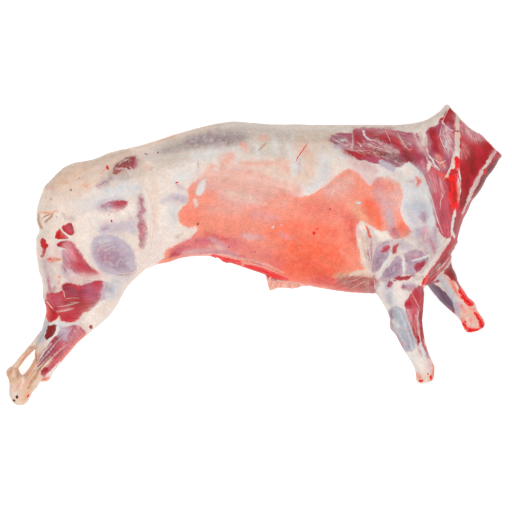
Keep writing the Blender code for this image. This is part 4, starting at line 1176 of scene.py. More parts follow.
def rows_of(items, name, each, width, kind=np.int32):
    """A property of all items, which has that many values each, in rows of that width."""
    values = np.empty(len(items) * each, dtype=kind)
    items.foreach_get(name, values)
    return values.reshape(-1, width)


def vectors_of(vertices, name):
    """A vector property of every vertex."""
    return rows_of(vertices, name, 3, 3, np.float32).astype(float)


def mesh_from(bm, name):
    """The built mesh under that name. Nothing more can be built on it."""
    mesh = bpy.data.meshes.new(name)
    bm.to_mesh(mesh)
    bm.free()
    return mesh


def apply_modifiers(obj):
    """Replaces the object's mesh with what its modifiers make of it."""
    graph = bpy.context.evaluated_depsgraph_get()
    graph.update()
    mesh = bpy.data.meshes.new_from_object(obj.evaluated_get(graph))
    obj.modifiers.clear()
    obj.data = mesh


def even_skin(size):
    """The solid's form with a skin of even faces."""
    skin = link("goat_carcass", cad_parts[NODE].data.copy())
    skin.data.materials.clear()
    step = skin.modifiers.new("skin", "REMESH")
    step.mode = "VOXEL"
    step.voxel_size = size
    apply_modifiers(skin)
    return skin


EVEN_OUT = (0.5, -0.52)  # a step that evens out, and one back that keeps the form from shrinking


def smoothed(places, edges, passes):
    """The places evened out between their neighbours."""
    start, end = edges.T
    count = len(places)
    neighbours = np.bincount(start, minlength=count) + np.bincount(end, minlength=count)
    for step in range(2 * passes):
        total = np.empty_like(places)
        for axis in range(places.shape[1]):
            total[:, axis] = np.bincount(start, weights=places[end, axis], minlength=count)
            total[:, axis] += np.bincount(end, weights=places[start, axis], minlength=count)
        places = places + EVEN_OUT[step % 2] * (total / neighbours[:, None] - places)
    return places


def rough(places, size, seed):
    """Smooth noise between about -1 and 1, with swells of that size."""
    shift = Vector((seed * 7.31, seed * 3.17, seed * 5.71))
    return np.array([noise.noise(Vector(place) + shift) for place in places / size])


def curve_through(points, steps, closed=False):
    """A smooth curve through the points, with that many steps from each to the next."""
    given = np.array(points, dtype=float)
    count = len(given)
    spans = count if closed else count - 1
    curve = []
    for k in range(spans):
        if closed:
            a, b, c, d = (given[(k + j) % count] for j in (-1, 0, 1, 2))
        else:
            b, c = given[k], given[k + 1]
            a = given[k - 1] if k else 2 * b - c
            d = given[k + 2] if k + 2 < count else 2 * c - b
        for i in range(steps):
            t = i / steps
            bend = (c - a) + (2 * a - 5 * b + 4 * c - d) * t + (3 * b - a - 3 * c + d) * t * t
            curve.append(b + bend * t / 2)
    if not closed:
        curve.append(given[-1])
    return np.array(curve)


def nearest_on_line(points, line):
    """Distance from each point to the line of straight runs, and how far along that is, from 0 to 1."""
    best = np.full(len(points), np.inf)
    along = np.zeros(len(points))
    for k, (start, end) in enumerate(zip(line, line[1:])):
        run = end - start
        share = np.clip((points - start) @ run / (run @ run), 0, 1)
        away = points - start - share[:, None] * run
        distance = np.hypot(away[:, 0], away[:, 1])
        along = np.where(distance < best, (k + share) / (len(line) - 1), along)
        best = np.minimum(best, distance)
    return best, along


def depth_inside(points, outline):
    """Distance from each point to the closed outline, above 0 inside it."""
    closed = np.vstack((outline, outline[:1]))
    inside = np.zeros(len(points), dtype=bool)
    for start, end in zip(closed, closed[1:]):
        spans = (start[1] > points[:, 1]) != (end[1] > points[:, 1])
        if start[1] != end[1]:
            cross = start[0] + (points[:, 1] - start[1]) * (end[0] - start[0]) / (end[1] - start[1])
            inside ^= spans & (points[:, 0] < cross)
    distance = nearest_on_line(points, closed)[0]
    return np.where(inside, distance, -distance)


# ---- places in the picture ----


def picture_of(places, normals):
    """Where each point shows in the picture, seen straight from the side of the animal it lies on."""
    distance = bpy.context.scene.carcass_studio.distance
    facing = np.clip(normals[:, 2] * 3, -1, 1)  # 1 on top, -1 underneath, in between on steep skin only
    growth = 1 / (1 - facing * (places[:, 2] - MIDDLE) / distance)
    x = CENTRE[0] + (places[:, 0] - CENTRE[0]) * growth
    y = CENTRE[1] + (places[:, 1] - CENTRE[1]) * growth
    return np.column_stack((PICTURE_ZERO[0] + x / PIXEL, PICTURE_ZERO[1] - y / PIXEL))


def on_plane(pixel):
    """The point of the middle plane that shows at a place in the picture."""
    x, y = pixel
    return Vector(((x - PICTURE_ZERO[0]) * PIXEL, (PICTURE_ZERO[1] - y) * PIXEL, MIDDLE))


def on_skin(skins, pixel, side):
    """Where the skin shows at a place in the picture and its normal, from above (side 1) or below (-1)."""
    eye = Vector((*CENTRE, MIDDLE + side * bpy.context.scene.carcass_studio.distance))
    ray = on_plane(pixel) - eye
    hits = [skin.ray_cast(eye, ray)[:3] for skin in skins]
    hits = [(place, normal) for hit, place, normal in hits if hit]
    return min(hits, key=lambda found: (found[0] - eye).length, default=(None, None))


# ---- painting ----

EVEN_GRAIN = np.array((4, 0.45, 1.3))  # makes the fibre patterns as long as wide, as in fat
NO_GRAIN = 0.004  # stretches the fibre patterns until they don't show
DARKEST = 0.003  # no tissue is darker than this in any colour
COLOUR_REACH = 2.5  # a tissue's colour spreads this much further than the tissue itself
WAVERS = ((13 * MM, 1), (6 * MM, 3))  # what makes outlines waver: size of the swells, seed
WAVER_REACH = 0.9  # how far they waver, in pixels
BREAKS = ((9 * MM, 21), (4.5 * MM, 22))  # what breaks strokes up: size of the swells, seed
BREAK_SHARE = 0.35  # how much of a stroke's strength they take or add
BRUSH_REACH = 2.2  # a stroke has faded at this many of its half widths
PATCH_REACH = 6  # a patch has faded this far outside its outline, in pixels
GRAIN_REACH = 3  # a patch's own grain reaches this far past its outline, in pixels
DRIFTS = (22, 7, 15)  # sizes in millimetres of the broad, the small and the warm drift of the colours


class Paint:
    """The tissues at every point of a skin."""

    def __init__(self, places, normals):
        finish = bpy.context.scene.carcass_finish
        self.places = places
        self.normals = normals
        self.picture = picture_of(places, normals)
        for size, seed in WAVERS:
            self.picture += WAVER_REACH * np.column_stack([rough(places, size, seed + k) for k in (0, 1)])
        count = len(places)
        self.cover = np.tile(finish.fat, (count, 1))
        self.flesh = np.tile(finish.flesh, (count, 1))
        self.bare = np.zeros(count)
        self.veil = np.zeros(count)
        self.grain = places * EVEN_GRAIN
        self.breaks = np.ones(count)
        for size, seed in BREAKS:
            self.breaks += BREAK_SHARE * rough(places, size, seed)

    def near(self, points, margin):
        """Which points of the skin lie within the margin of a group of places in the picture."""
        low, high = np.min(points, axis=0) - margin, np.max(points, axis=0) + margin
        return np.flatnonzero(np.all((self.picture > low) & (self.picture < high), axis=1))

    def lay(self, kind, tone, where, share):
        """Blends a tissue in at those points."""
        if kind == "veil":
            self.veil[where] = np.maximum(self.veil[where], share)
            return
        colour = np.maximum(colour_of(tone) - bpy.context.scene.carcass_finish.glow, DARKEST)
        wide = share if kind == "tint" else np.minimum(1, COLOUR_REACH * share)
        if kind != "meat":
            self.cover[where] += wide[:, None] * (colour - self.cover[where])
        if kind != "film":
            self.flesh[where] += wide[:, None] * (colour - self.flesh[where])
        if kind != "tint":
            goal = 1 if kind == "meat" else 0
            self.bare[where] += share * (goal - self.bare[where])

    def stroke(self, stroke):
        """One stroke of a soft brush, thinner at its ends and broken up a little."""
        course = curve_through(stroke.points, 4)
        where = self.near(course, BRUSH_REACH * stroke.size)
        away, along = nearest_on_line(self.picture[where], course)
        firm = stroke.kind in ("meat", "film")
        taper = 0.15 if firm else 0.3
        away /= stroke.size * (1.1 - taper + taper * np.sin(np.pi * along))
        falloff = 3 if firm else 2
        share = stroke.strength * np.exp(-(away**falloff)) * self.breaks[where]
        self.lay(stroke.kind, stroke.tone, where, np.minimum(share, 1))

    def patch(self, patch):
        """A patch with an outline. Its fibres run its own way."""
        outline = curve_through(patch.outline, 3, closed=True)
        where = self.near(outline, PATCH_REACH)
        depth = depth_inside(self.picture[where], outline)
        ragged = depth + self.breaks[where] - 1
        self.lay(patch.kind, patch.tone, where, np.clip(0.5 + ragged / (2 * patch.edge), 0, 1))
        inside = where[depth > -GRAIN_REACH]
        if patch.fibres is None:
            self.grain[inside] = self.places[inside] * NO_GRAIN
            return
        centre = on_plane(np.mean(outline, axis=0))
        turn = math.radians(-patch.fibres)
        x = self.places[inside, 0] - centre.x
        y = self.places[inside, 1] - centre.y
        self.grain[inside, 0] = x * math.cos(turn) + y * math.sin(turn)
        self.grain[inside, 1] = y * math.cos(turn) - x * math.sin(turn)

    def relief(self):
        """Height of the low relief."""
        form = np.zeros(len(self.places))
        for height, size, points in RELIEF:
            course = curve_through(points, 4)
            where = self.near(course, 2 * size)
            away = nearest_on_line(self.picture[where], course)[0] / (2 * size)
            form[where] += height * MM * np.clip(1 - away**2, 0, 1) ** 2
        return form


def paint_sides(paint):
    """The tissues of the animal's two sides, and how their colours drift."""
    for tissue in TISSUES:
        if isinstance(tissue, Patch):
            paint.patch(tissue)
        else:
            paint.stroke(tissue)
    broad, small, warm = (rough(paint.places, size * MM, size) for size in DRIFTS)
    drift = (0.03 * broad + 0.04 * small)[:, None] + np.outer(warm, (0.02, 0, -0.03))
    paint.cover *= 1 + drift
    paint.flesh *= 1 + 1.5 * drift


def paint_belly(paint):
    """The raw inside of the belly opening."""
    edge = curve_through(BELLY_EDGE, 4) * MM
    near = nearest_on_line(paint.places[:, :2], edge)[0]
    height = np.abs(paint.places[:, 2] - BELLY_HEIGHT)
    share = np.clip(2 - near / BELLY_REACH, 0, 1) * np.clip((BELLY_HALF - height) / BELLY_SOFT, 0, 1)
    x, y = paint.places[:, 0] / MM, paint.places[:, 1] / MM
    torn = (x > TORN_SPAN[0]) & (x < TORN_SPAN[1]) & (height < TORN_REACH)
    torn &= y < TORN_LINE[0] + TORN_LINE[1] * x
    share[torn] = 0
    paint.cover[torn] = paint.flesh[torn] = colour_of("belly_hem")
    paint.bare = np.maximum(paint.bare, share)
    paint.flesh += share[:, None] * (colour_of("belly_raw") - paint.flesh)
    paint.veil *= 1 - share


def neck_axes():
    """Middle of the neck's cut and its two directions in the plan: down the cut and out of it."""
    middle = np.array(NECK_CUT_MIDDLE) * MM
    down = middle - np.array(NECK_CUT_TOP) * MM
    down /= np.linalg.norm(down)
    return middle, down, np.array((-down[1], down[0]))


def paint_neck_cut(paint):
    """The sawn face of the neck: muscles parted by white seams round the backbone, and a rim of fat."""
    middle, down, outward = neck_axes()
    away = paint.places[:, :2] - middle
    along = away @ down / MM
    across = (paint.places[:, 2] - NECK_CUT_HEIGHT) / MM
    facing = paint.normals[:, :2] @ outward
    face = (away @ outward > -NECK_CUT_DEPTH) & (facing > 0.8)
    rim = np.hypot(along / NECK_HALVES[0], across / NECK_HALVES[1])
    from_bone = np.hypot(along + BONE_OFFSET, across)
    middles = []
    for reach, count, start in NECK_MUSCLES:
        for i in range(count):
            angle = math.radians(start + 360 * i / count)
            middles.append((reach * math.cos(angle), NECK_FLATNESS * reach * math.sin(angle)))
    gaps = np.sort([np.hypot(along - a, across - b) for a, b in middles], axis=0)
    seam = np.clip(1.5 - (gaps[1] - gaps[0]) / NECK_SEAM, 0, 1)
    deep, red = colour_of("garnet"), colour_of("red_meat")
    spread = (0.5 + 0.5 * rough(paint.places, 12 * MM, 9))[:, None]
    flesh = deep + (red - deep) * spread
    in_marrow, in_bone = (from_bone < radius for radius in BONE_WALL)
    flesh = np.where(in_marrow[:, None], colour_of("marrow"), flesh)
    cover = np.where(in_bone[:, None], colour_of("bone"), colour_of("neck_fat"))
    bare = 1 - np.maximum(seam, np.clip((rim - NECK_FAT[0]) / NECK_FAT[1], 0, 1))
    bare = np.where(in_marrow, 1, np.where(in_bone, 0, bare))
    paint.bare[face] = bare[face]
    paint.flesh[face] = flesh[face]
    paint.cover[face] = cover[face]
    paint.veil[face] = 0.25
    paint.grain[face] = paint.places[face] * EVEN_GRAIN


# What gives the skin its unevenness, after real sizes
LOBULES = ((16 * MM, 1, 5), (6 * MM, 0.4, 6))  # swells of fat: size, share of the full height, seed
FIBRE_DRAW = np.array((0.12, 1, 0.5))  # draws the fibres out along their run
FIBRE_SIZE = 3.5 * MM  # bundles of fibres are 1 to 2 mm wide, but the faces of the skin can't show that
FIBRE_HEIGHT = 0.35 * MM
RIB_SPACING = 25 * MM
RIB_LEAN = 0.25  # how far they lean towards the neck
RIBBED = (300, 205, 52, 60)  # where ribs show: middle and half sizes, in pixels


def raise_relief(paint, edges):
    """Stands the cover out over the flesh, and gives fat, ribs and muscle fibres their unevenness."""
    surface = bpy.context.scene.carcass_surface
    soft_bare = smoothed(paint.bare[:, None], edges, 2)[:, 0]
    form = surface.cover * (0.5 - soft_bare) + paint.relief()
    for size, share, seed in LOBULES:
        form += share * surface.nodules * rough(paint.places, size, seed) * (1 - 0.6 * soft_bare)
    form += FIBRE_HEIGHT * rough(paint.grain * FIBRE_DRAW, FIBRE_SIZE, 7) * soft_bare
    x, y = paint.picture[:, 0], paint.picture[:, 1]
    chest = np.exp(-((x - RIBBED[0]) / RIBBED[2]) ** 4) * np.exp(-((y - RIBBED[1]) / RIBBED[3]) ** 4)
    slope = paint.places[:, 0] - RIB_LEAN * paint.places[:, 1]
    form += surface.ribs * np.sin(slope * math.tau / RIB_SPACING) * chest
    return form


def ease(places, picture):
    """Draws the skin sideways where EASED says."""
    for middle, radius, shift in EASED:
        away = np.hypot(picture[:, 0] - middle[0], picture[:, 1] - middle[1]) / radius
        share = np.clip(1 - away**2, 0, 1) ** 2
        places[:, 0] += share * shift[0] * PIXEL
        places[:, 1] -= share * shift[1] * PIXEL


# ---- materials ----

# How nodes are set here, and which output is used where it isn't the first: Mix mixes colours, for example
SETTINGS = {
    "Mix": {"data_type": "RGBA"},
    "MapRange": {"interpolation_type": "SMOOTHSTEP"},
    "VectorMath": {"operation": "SCALE"},
}
OUTPUTS = {"Mix": 2, "TexCoord": "Object"}
FACTOR, FIRST, SECOND = 0, 6, 7  # inputs of Mix
VALUE, LOW, HIGH, TOP = 0, 1, 2, 4  # inputs of Map Range, whose result runs from 0 to TOP


def add(tree, kind, inputs, output=None, **settings):
    """Adds a node and returns one of its outputs. An input takes a value, or the output it is linked to."""
    made = tree.nodes.new("ShaderNode" + kind)
    for name, value in {**SETTINGS.get(kind, {}), **settings}.items():
        setattr(made, name, value)
    for socket, value in inputs.items():
        if isinstance(value, bpy.types.NodeSocket):
            tree.links.new(value, made.inputs[socket])
        else:
            made.inputs[socket].default_value = value
    return made.outputs[OUTPUTS.get(kind, 0) if output is None else output]


def new_material(name, **sockets):
    """A material with its Principled shader set, and its node tree and shader."""
    material = bpy.data.materials.new(name)
    material.use_nodes = True
    shader = material.node_tree.nodes["Principled BSDF"]
    for socket, value in sockets.items():
        shader.inputs[socket.replace("_", " ")].default_value = value
    return material, material.node_tree, shader


def link_surface(tree, shader, colour, roughness, height, strength, depth):
    """Links a shader to its colour, its roughness and a bump of that depth."""
    normal = add(tree, "Bump", {"Height": height, "Strength": strength, "Distance": depth})
    for socket, value in (("Base Color", colour), ("Roughness", roughness), ("Normal", normal)):
        tree.links.new(value, shader.inputs[socket])


def total(tree, *terms):
    """The sum of values, each times its weight."""
    result = 0.0
    for value, weight in terms:
        result = add(tree, "Math", {0: value, 1: weight, 2: result}, operation="MULTIPLY_ADD")
    return result


def pattern(tree, vector, sizes, detail=3, distortion=0):
    """Cloudy noise with swells of that size in millimetres, or of three sizes for its three directions."""
    scale = tuple(1 / (np.ones(3) * sizes * MM))
    mapped = add(tree, "Mapping", {"Vector": vector, "Scale": scale})
    inputs = {"Vector": mapped, "Scale": 1.0, "Detail": detail, "Distortion": distortion}
    return add(tree, "TexNoise", inputs)


def flesh_material():
    """Goat meat with its thin fat and silverskin, skinned by hand: moist, cloudy, and clear in places.

    The cover is milky with a fine grain, the flesh shows its fibres, and where the two meet the cover's rim
    is whiter. Flesh is wetter than fat.
    """
    material, tree, shader = new_material(
        "goat_meat_hand_skinned", IOR=1.4, Coat_Weight=0.08, Coat_Roughness=0.25
    )
    fields = {"cover": "Color", "flesh": "Color", "bare": "Fac", "veil": "Fac", "grain": "Vector"}
    cover, flesh, bare, veil, grain = (
        add(tree, "Attribute", {}, output, attribute_name=name) for name, output in fields.items()
    )
    place = add(tree, "TexCoord", {})

    # Clouds and flushes are as large as real ones. The grain of fat, under 1 mm, and the bundles of fibres,
    # 1 to 2 mm wide, are too fine to show here, so grit, fibres and threads are drawn coarser than they are.
    cloud = pattern(tree, place, 13, 4)
    grit = pattern(tree, place, 2.4, 2)
    flush = pattern(tree, place, 5, 3, 0.5)
    chill = pattern(tree, place, 6.5, 3, 0.8)
    fibre = pattern(tree, grain, (34, 3, 9), 3, 0.6)
    thread = pattern(tree, grain, (24, 1.8, 6), 2, 0.8)

    # Where flesh is bare, with a ragged edge, and the whiter rim outside it
    ragged = total(tree, (bare, 1.0), (cloud, 0.35), (flush, 0.5), (grit, 0.5), (thread, 0.55))
    edge = add(tree, "MapRange", {VALUE: ragged, LOW: 1.13, HIGH: 1.77})
    outer = add(tree, "MapRange", {VALUE: ragged, LOW: 0.99, HIGH: 1.4})
    rim = total(tree, (outer, 1.0), (edge, -1.0))

    shade = total(tree, (cloud, 0.35), (grit, 0.35), (thread, 0.2), (0.55, 1.0))
    fat = add(tree, "VectorMath", {0: cover, "Scale": shade})
    for cause, tone in ((flush, "flushed_fat"), (chill, "chilled_fat")):
        share = add(tree, "MapRange", {VALUE: cause, LOW: 0.48, HIGH: 0.8, TOP: 0.5})
        fat = add(tree, "Mix", {FACTOR: share, FIRST: fat, SECOND: filled(tone)})
    silverskin = (*bpy.context.scene.carcass_finish.silverskin, 1)
    fat = add(tree, "Mix", {FACTOR: total(tree, (rim, 0.3)), FIRST: fat, SECOND: silverskin})

    strand = add(tree, "MapRange", {VALUE: fibre, LOW: 0.3, HIGH: 0.7})
    shade = total(tree, (cloud, 0.4), (strand, 0.36), (thread, 0.25), (grit, 0.7), (0.145, 1.0))
    meat = add(tree, "VectorMath", {0: flesh, "Scale": shade})
    threads = total(tree, (thread, 0.8), (flush, 0.2))
    threads = add(tree, "MapRange", {VALUE: threads, LOW: 0.44, HIGH: 0.6})
    haze = add(tree, "Math", {0: veil, 1: threads}, operation="MULTIPLY")
    haze = total(tree, (haze, 0.62), (veil, 0.12))
    meat = add(tree, "Mix", {FACTOR: haze, FIRST: meat, SECOND: silverskin})

    colour = add(tree, "Mix", {FACTOR: edge, FIRST: fat, SECOND: meat})
    gloss = total(tree, (edge, -0.1), (cloud, 0.14), (grit, 0.1), (0.4, 1.0))
    height = total(tree, (edge, -0.4), (cloud, 0.4), (grit, 0.12), (thread, 0.3))
    link_surface(tree, shader, colour, gloss, height, 0.45, 0.9 * MM)
    return material


def silverskin_material():
    """Silverskin and tendon, dried a little in the air: pale, warm in clouds, dull in flecks, satin."""
    material, tree, shader = new_material(
        "silverskin_air_dried", IOR=1.42, Coat_Weight=0.15, Coat_Roughness=0.3
    )
    place = add(tree, "TexCoord", {})
    cloud = pattern(tree, place, 7)
    fine = pattern(tree, place, 1.4, 2)
    colour = (*bpy.context.scene.carcass_finish.silverskin, 1)
    share = add(tree, "MapRange", {VALUE: cloud, LOW: 0.4, HIGH: 0.7})
    colour = add(tree, "Mix", {FACTOR: share, FIRST: colour, SECOND: filled("warm_tendon")})
    share = add(tree, "MapRange", {VALUE: fine, LOW: 0.45, HIGH: 0.75, TOP: 0.5})
    colour = add(tree, "Mix", {FACTOR: share, FIRST: colour, SECOND: filled("dull_tendon")})
    link_surface(tree, shader, colour, total(tree, (fine, 0.3), (0.3, 1.0)), fine, 0.4, 0.4 * MM)
    return material


def wet_material(name, tone):
    """Blood and other wet spots: clotted unevenly, so patchy in depth, with a shine."""
    material, tree, shader = new_material(name, IOR=1.36, Coat_Weight=0.15, Coat_Roughness=0.2)
    place = add(tree, "TexCoord", {})
    cloud = pattern(tree, place, 3.5)
    tone = tuple(max(value - bpy.context.scene.carcass_finish.glow, DARKEST) for value in tone)
    deep = tuple(0.7 * value for value in tone)
    share = add(tree, "MapRange", {VALUE: cloud, LOW: 0.35, HIGH: 0.7})
    colour = add(tree, "Mix", {FACTOR: share, FIRST: (*tone, 1), SECOND: (*deep, 1)})
    link_surface(tree, shader, colour, total(tree, (cloud, 0.3), (0.12, 1.0)), cloud, 0.5, 0.6 * MM)
    return material


def membrane_material():
    """Torn belly wall, thin: cream on the crests of its pleats and salmon down in their furrows, most of all
    midway along it, with mauve flecks.
    """
    material, tree, shader = new_material("belly_wall_torn", IOR=1.4, Coat_Weight=0.15, Coat_Roughness=0.25)
    fold = add(tree, "Attribute", {}, "Fac", attribute_name="fold")
    place = add(tree, "TexCoord", {})
    cloud = pattern(tree, place, 5)
    fine = pattern(tree, place, 1.5, 2)
    pale = total(tree, (fold, 0.7), (cloud, 0.6))
    share = add(tree, "MapRange", {VALUE: pale, LOW: 0.27, HIGH: 0.47})
    colour = add(tree, "Mix", {FACTOR: share, FIRST: filled("torn_flesh"), SECOND: filled("torn_fold")})
    share = add(tree, "MapRange", {VALUE: fine, LOW: 0.5, HIGH: 0.8, TOP: 0.6})
    colour = add(tree, "Mix", {FACTOR: share, FIRST: colour, SECOND: filled("torn_mauve")})
    link_surface(tree, shader, colour, total(tree, (cloud, 0.3), (0.3, 1.0)), cloud, 0.5, 0.8 * MM)
    return material


def floor_material():
    """White opal glass of a light table: matte, with a soft glow and a faint cloud that shows close to."""
    glow = bpy.context.scene.carcass_studio.table
    material, tree, shader = new_material(
        "studio_opal_glass", Roughness=0.9, Emission_Color=(1, 1, 1, 1), Emission_Strength=glow
    )
    cloud = pattern(tree, add(tree, "TexCoord", {}), 4, 2)
    colour = add(tree, "Mix", {FACTOR: cloud, FIRST: filled("opal"), SECOND: filled("opal_cloud")})
    tree.links.new(colour, shader.inputs["Base Color"])
    return material


# ---- pieces ----


def finished(piece, material):
    """Gives a piece its material and slot, shades it smooth and lets it ride on the carcass."""
    piece.data.materials.clear()
    piece.data.materials.append(material)
    piece.data.shade_smooth()
    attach(piece, BODY)


def skins():
    """The pieces of the finished skin, to place others on."""
    bpy.context.view_layer.update()
    return [bpy.data.objects[name] for name in SKIN_CUTS]


def skin_piece(name, paint, places, faces, used):
    """One piece of the skin with the tissues at its points, as named attributes."""
    mesh = bpy.data.meshes.new(name)
    mesh.from_pydata(places, [], faces)
    for field in ("cover", "flesh"):
        colours = np.column_stack((getattr(paint, field)[used], np.ones(len(used))))
        mesh.attributes.new(field, "FLOAT_COLOR", "POINT").data.foreach_set("color", colours.ravel())
    for field in ("bare", "veil"):
        shares = getattr(paint, field)[used]
        mesh.attributes.new(field, "FLOAT", "POINT").data.foreach_set("value", shares)
    grain = mesh.attributes.new("grain", "FLOAT_VECTOR", "POINT")
    grain.data.foreach_set("vector", paint.grain[used].ravel())
    return link(name, mesh)


# A strand's section: places across it and over the skin, in its half width, with its edges in the skin
STRAND_SECTION = [(-1, -0.35), (-0.75, 0.45), (0, 1), (0.75, 0.45), (1, -0.35), (0, -0.6)]
STRAND_RISE = 0.55  # how much lower than wide it is
STRAND_WAVER = 0.4  # how far its course wavers, in pixels
STRAND_PULSE = 0.35  # how much of its width wavers
STRAND_GAP = 14 * MM  # it ends where the next point lies further off than this
DROP_RISE = (0.35, 0.25 * MM)  # a drop's height: share of its smaller half size, and what is added
DROP_SWELL = 0.28  # how uneven a drop is
SEED_STEPS = (1.3, 2.1)  # from one strand's or drop's seed to the next: whole steps would give no noise


def ribbon(bm, route, normals, widths):
    """A low rounded strand along the route."""
    rings = []
    for i, place in enumerate(route):
        ahead = (route[min(i + 1, len(route) - 1)] - route[max(i - 1, 0)]).normalized()
        across = ahead.cross(normals[i]).normalized()
        up = across.cross(ahead)
        ring = []
        for side, rise in STRAND_SECTION:
            offset = across * side * widths[i] + up * rise * widths[i] * STRAND_RISE
            point = place + offset
            ring.append(bm.verts.new((point.x, point.y, max(point.z, LOWEST))))
        rings.append(ring)
    for ring, following in zip(rings, rings[1:]):
        for k in range(len(ring)):
            j = (k + 1) % len(ring)
            bm.faces.new((ring[k], following[k], following[j], ring[j]))
    bm.faces.new(rings[0])
    bm.faces.new(list(reversed(rings[-1])))


def lay_strand(bm, bases, half, points, side, seed):
    """One strand on the skin, leaning outward, with thin ends, cut short where the skin falls away."""
    course = curve_through(points, 6)
    count = len(course)
    run, normals, widths = [], [], []
    for i, pixel in enumerate(course):
        share = i / (count - 1)
        waver_x = STRAND_WAVER * noise.noise(Vector((i * 0.31, seed, side)))
        waver_y = STRAND_WAVER * noise.noise(Vector((i * 0.27, side, seed)))
        place, normal = on_skin(bases, (pixel[0] + waver_x, pixel[1] + waver_y), side)
        if place is None or (run and (place - run[-1]).length > STRAND_GAP):
            break
        taper = math.sin(math.pi * min(max(share, 0.03), 0.97)) ** 0.5
        pulse = 1 + STRAND_PULSE * noise.noise(Vector((i * 0.5, seed * 1.7, 4)))
        run.append(place)
        normals.append((normal + Vector((0, 0, side))).normalized())
        widths.append(half * MM * taper * pulse)
    if len(run) > 2:
        ribbon(bm, run, normals, widths)


def strands_piece(name, strands, material):
    """All the strands of one kind, on both sides of the animal."""
    bases = skins()
    bm = bmesh.new()
    for seed, (half, points) in enumerate(strands):
        for side in (1, -1):
            lay_strand(bm, bases, half, points, side, seed * SEED_STEPS[0])
    bmesh.ops.recalc_face_normals(bm, faces=bm.faces[:])
    finished(link(name, mesh_from(bm, name)), material)


def drop(bm, place, normal, sizes, turn, seed):
    """An uneven bead that lies on the skin."""
    made = bmesh.ops.create_icosphere(bm, subdivisions=2, radius=1)["verts"]
    across = Vector((math.cos(turn), math.sin(turn), 0))
    across = (across - normal * across.dot(normal)).normalized()
    along = normal.cross(across)
    thick = DROP_RISE[0] * min(sizes) + DROP_RISE[1]
    for vertex in made:
        swell = 1 + DROP_SWELL * noise.noise(vertex.co * 1.6 + Vector((seed, 0, seed)))
        local = vertex.co * swell
        point = place + across * local.x * sizes[0] + along * local.y * sizes[1]
        point += normal * local.z * thick
        vertex.co = (point.x, point.y, max(point.z, LOWEST))


def drops_piece(tone):
    """All the drops of one tone, on both sides of the animal."""
    bases = skins()
    bm = bmesh.new()
    for seed, (pixel, sizes, turn, kind) in enumerate(DROPS):
        for side in (1, -1):
            place, normal = on_skin(bases, pixel, side)
            if kind == tone and place is not None:
                halves = (sizes[0] * MM, sizes[1] * MM)
                drop(bm, place, normal, halves, math.radians(turn), seed * SEED_STEPS[1])
    name = "spots_" + tone
    finished(link(name, mesh_from(bm, name)), wet_material("wet_" + tone, linear(TONES[tone])))


def torn_edge_piece():
    """The torn edge of the belly wall, thin and pleated towards its ragged free side."""
    columns, rows = TORN_FACES
    free = curve_through(TORN_FREE, 12)
    root = curve_through(TORN_ROOT, 12)
    bm = bmesh.new()
    layers = []
    folds = []
    for side in (-1, 1):
        grid = []
        for row in range(rows):
            share = row / (rows - 1)
            line = []
            for i in range(columns):
                t = i / (columns - 1)
                base = root[int(t * (len(root) - 1))]
                goal = free[int(t * (len(free) - 1))]
                ragged = 1 + 0.03 * noise.noise(Vector((i * 0.35, row * 0.1, 2))) * share
                x, y = (base + (goal - base) * share * ragged) * MM
                turn = PLEAT_TURN * t + 1.2 * math.sin(17 * t)
                pleat = math.sin(turn) * share ** 0.7
                thick = TORN_HALF * (1 - 0.5 * share)
                z = TORN_HEIGHT + PLEAT_HEIGHT * pleat + side * thick
                line.append(bm.verts.new((x, y, z)))
                pale = 0.2 + 0.8 * math.exp(-((t - PALE_FOLDS[0]) / PALE_FOLDS[1]) ** 2)
                folds.append(0.5 + 0.5 * pleat * side * pale)
            grid.append(line)
        layers.append(grid)
    lower, upper = layers
    for grid, order in ((lower, 1), (upper, -1)):
        for line, following in zip(grid, grid[1:]):
            for k in range(columns - 1):
                face = (line[k], line[k + 1], following[k + 1], following[k])
                bm.faces.new(face[::order])
    rims = []
    for grid in layers:
        right = [line[-1] for line in grid[1:]]
        left = [line[0] for line in reversed(grid[1:-1])]
        rims.append(grid[0] + right + list(reversed(grid[-1][:-1])) + left)
    for k in range(len(rims[0])):
        j = (k + 1) % len(rims[0])
        bm.faces.new((rims[0][k], rims[1][k], rims[1][j], rims[0][j]))
    bmesh.ops.recalc_face_normals(bm, faces=bm.faces[:])
    mesh = mesh_from(bm, "torn_belly_edge")
    mesh.attributes.new("fold", "FLOAT", "POINT").data.foreach_set("value", folds)
    finished(link("torn_belly_edge", mesh), membrane_material())


# ---- operators ----

FLOOR_SIDE = 16
FLOOR_HEIGHT = -0.2 * MM  # just under the carcass, so that the two don't meet
SKIN_PAST = 1 * MM  # how far the finish may stand out of the solid's box, but not into the floor


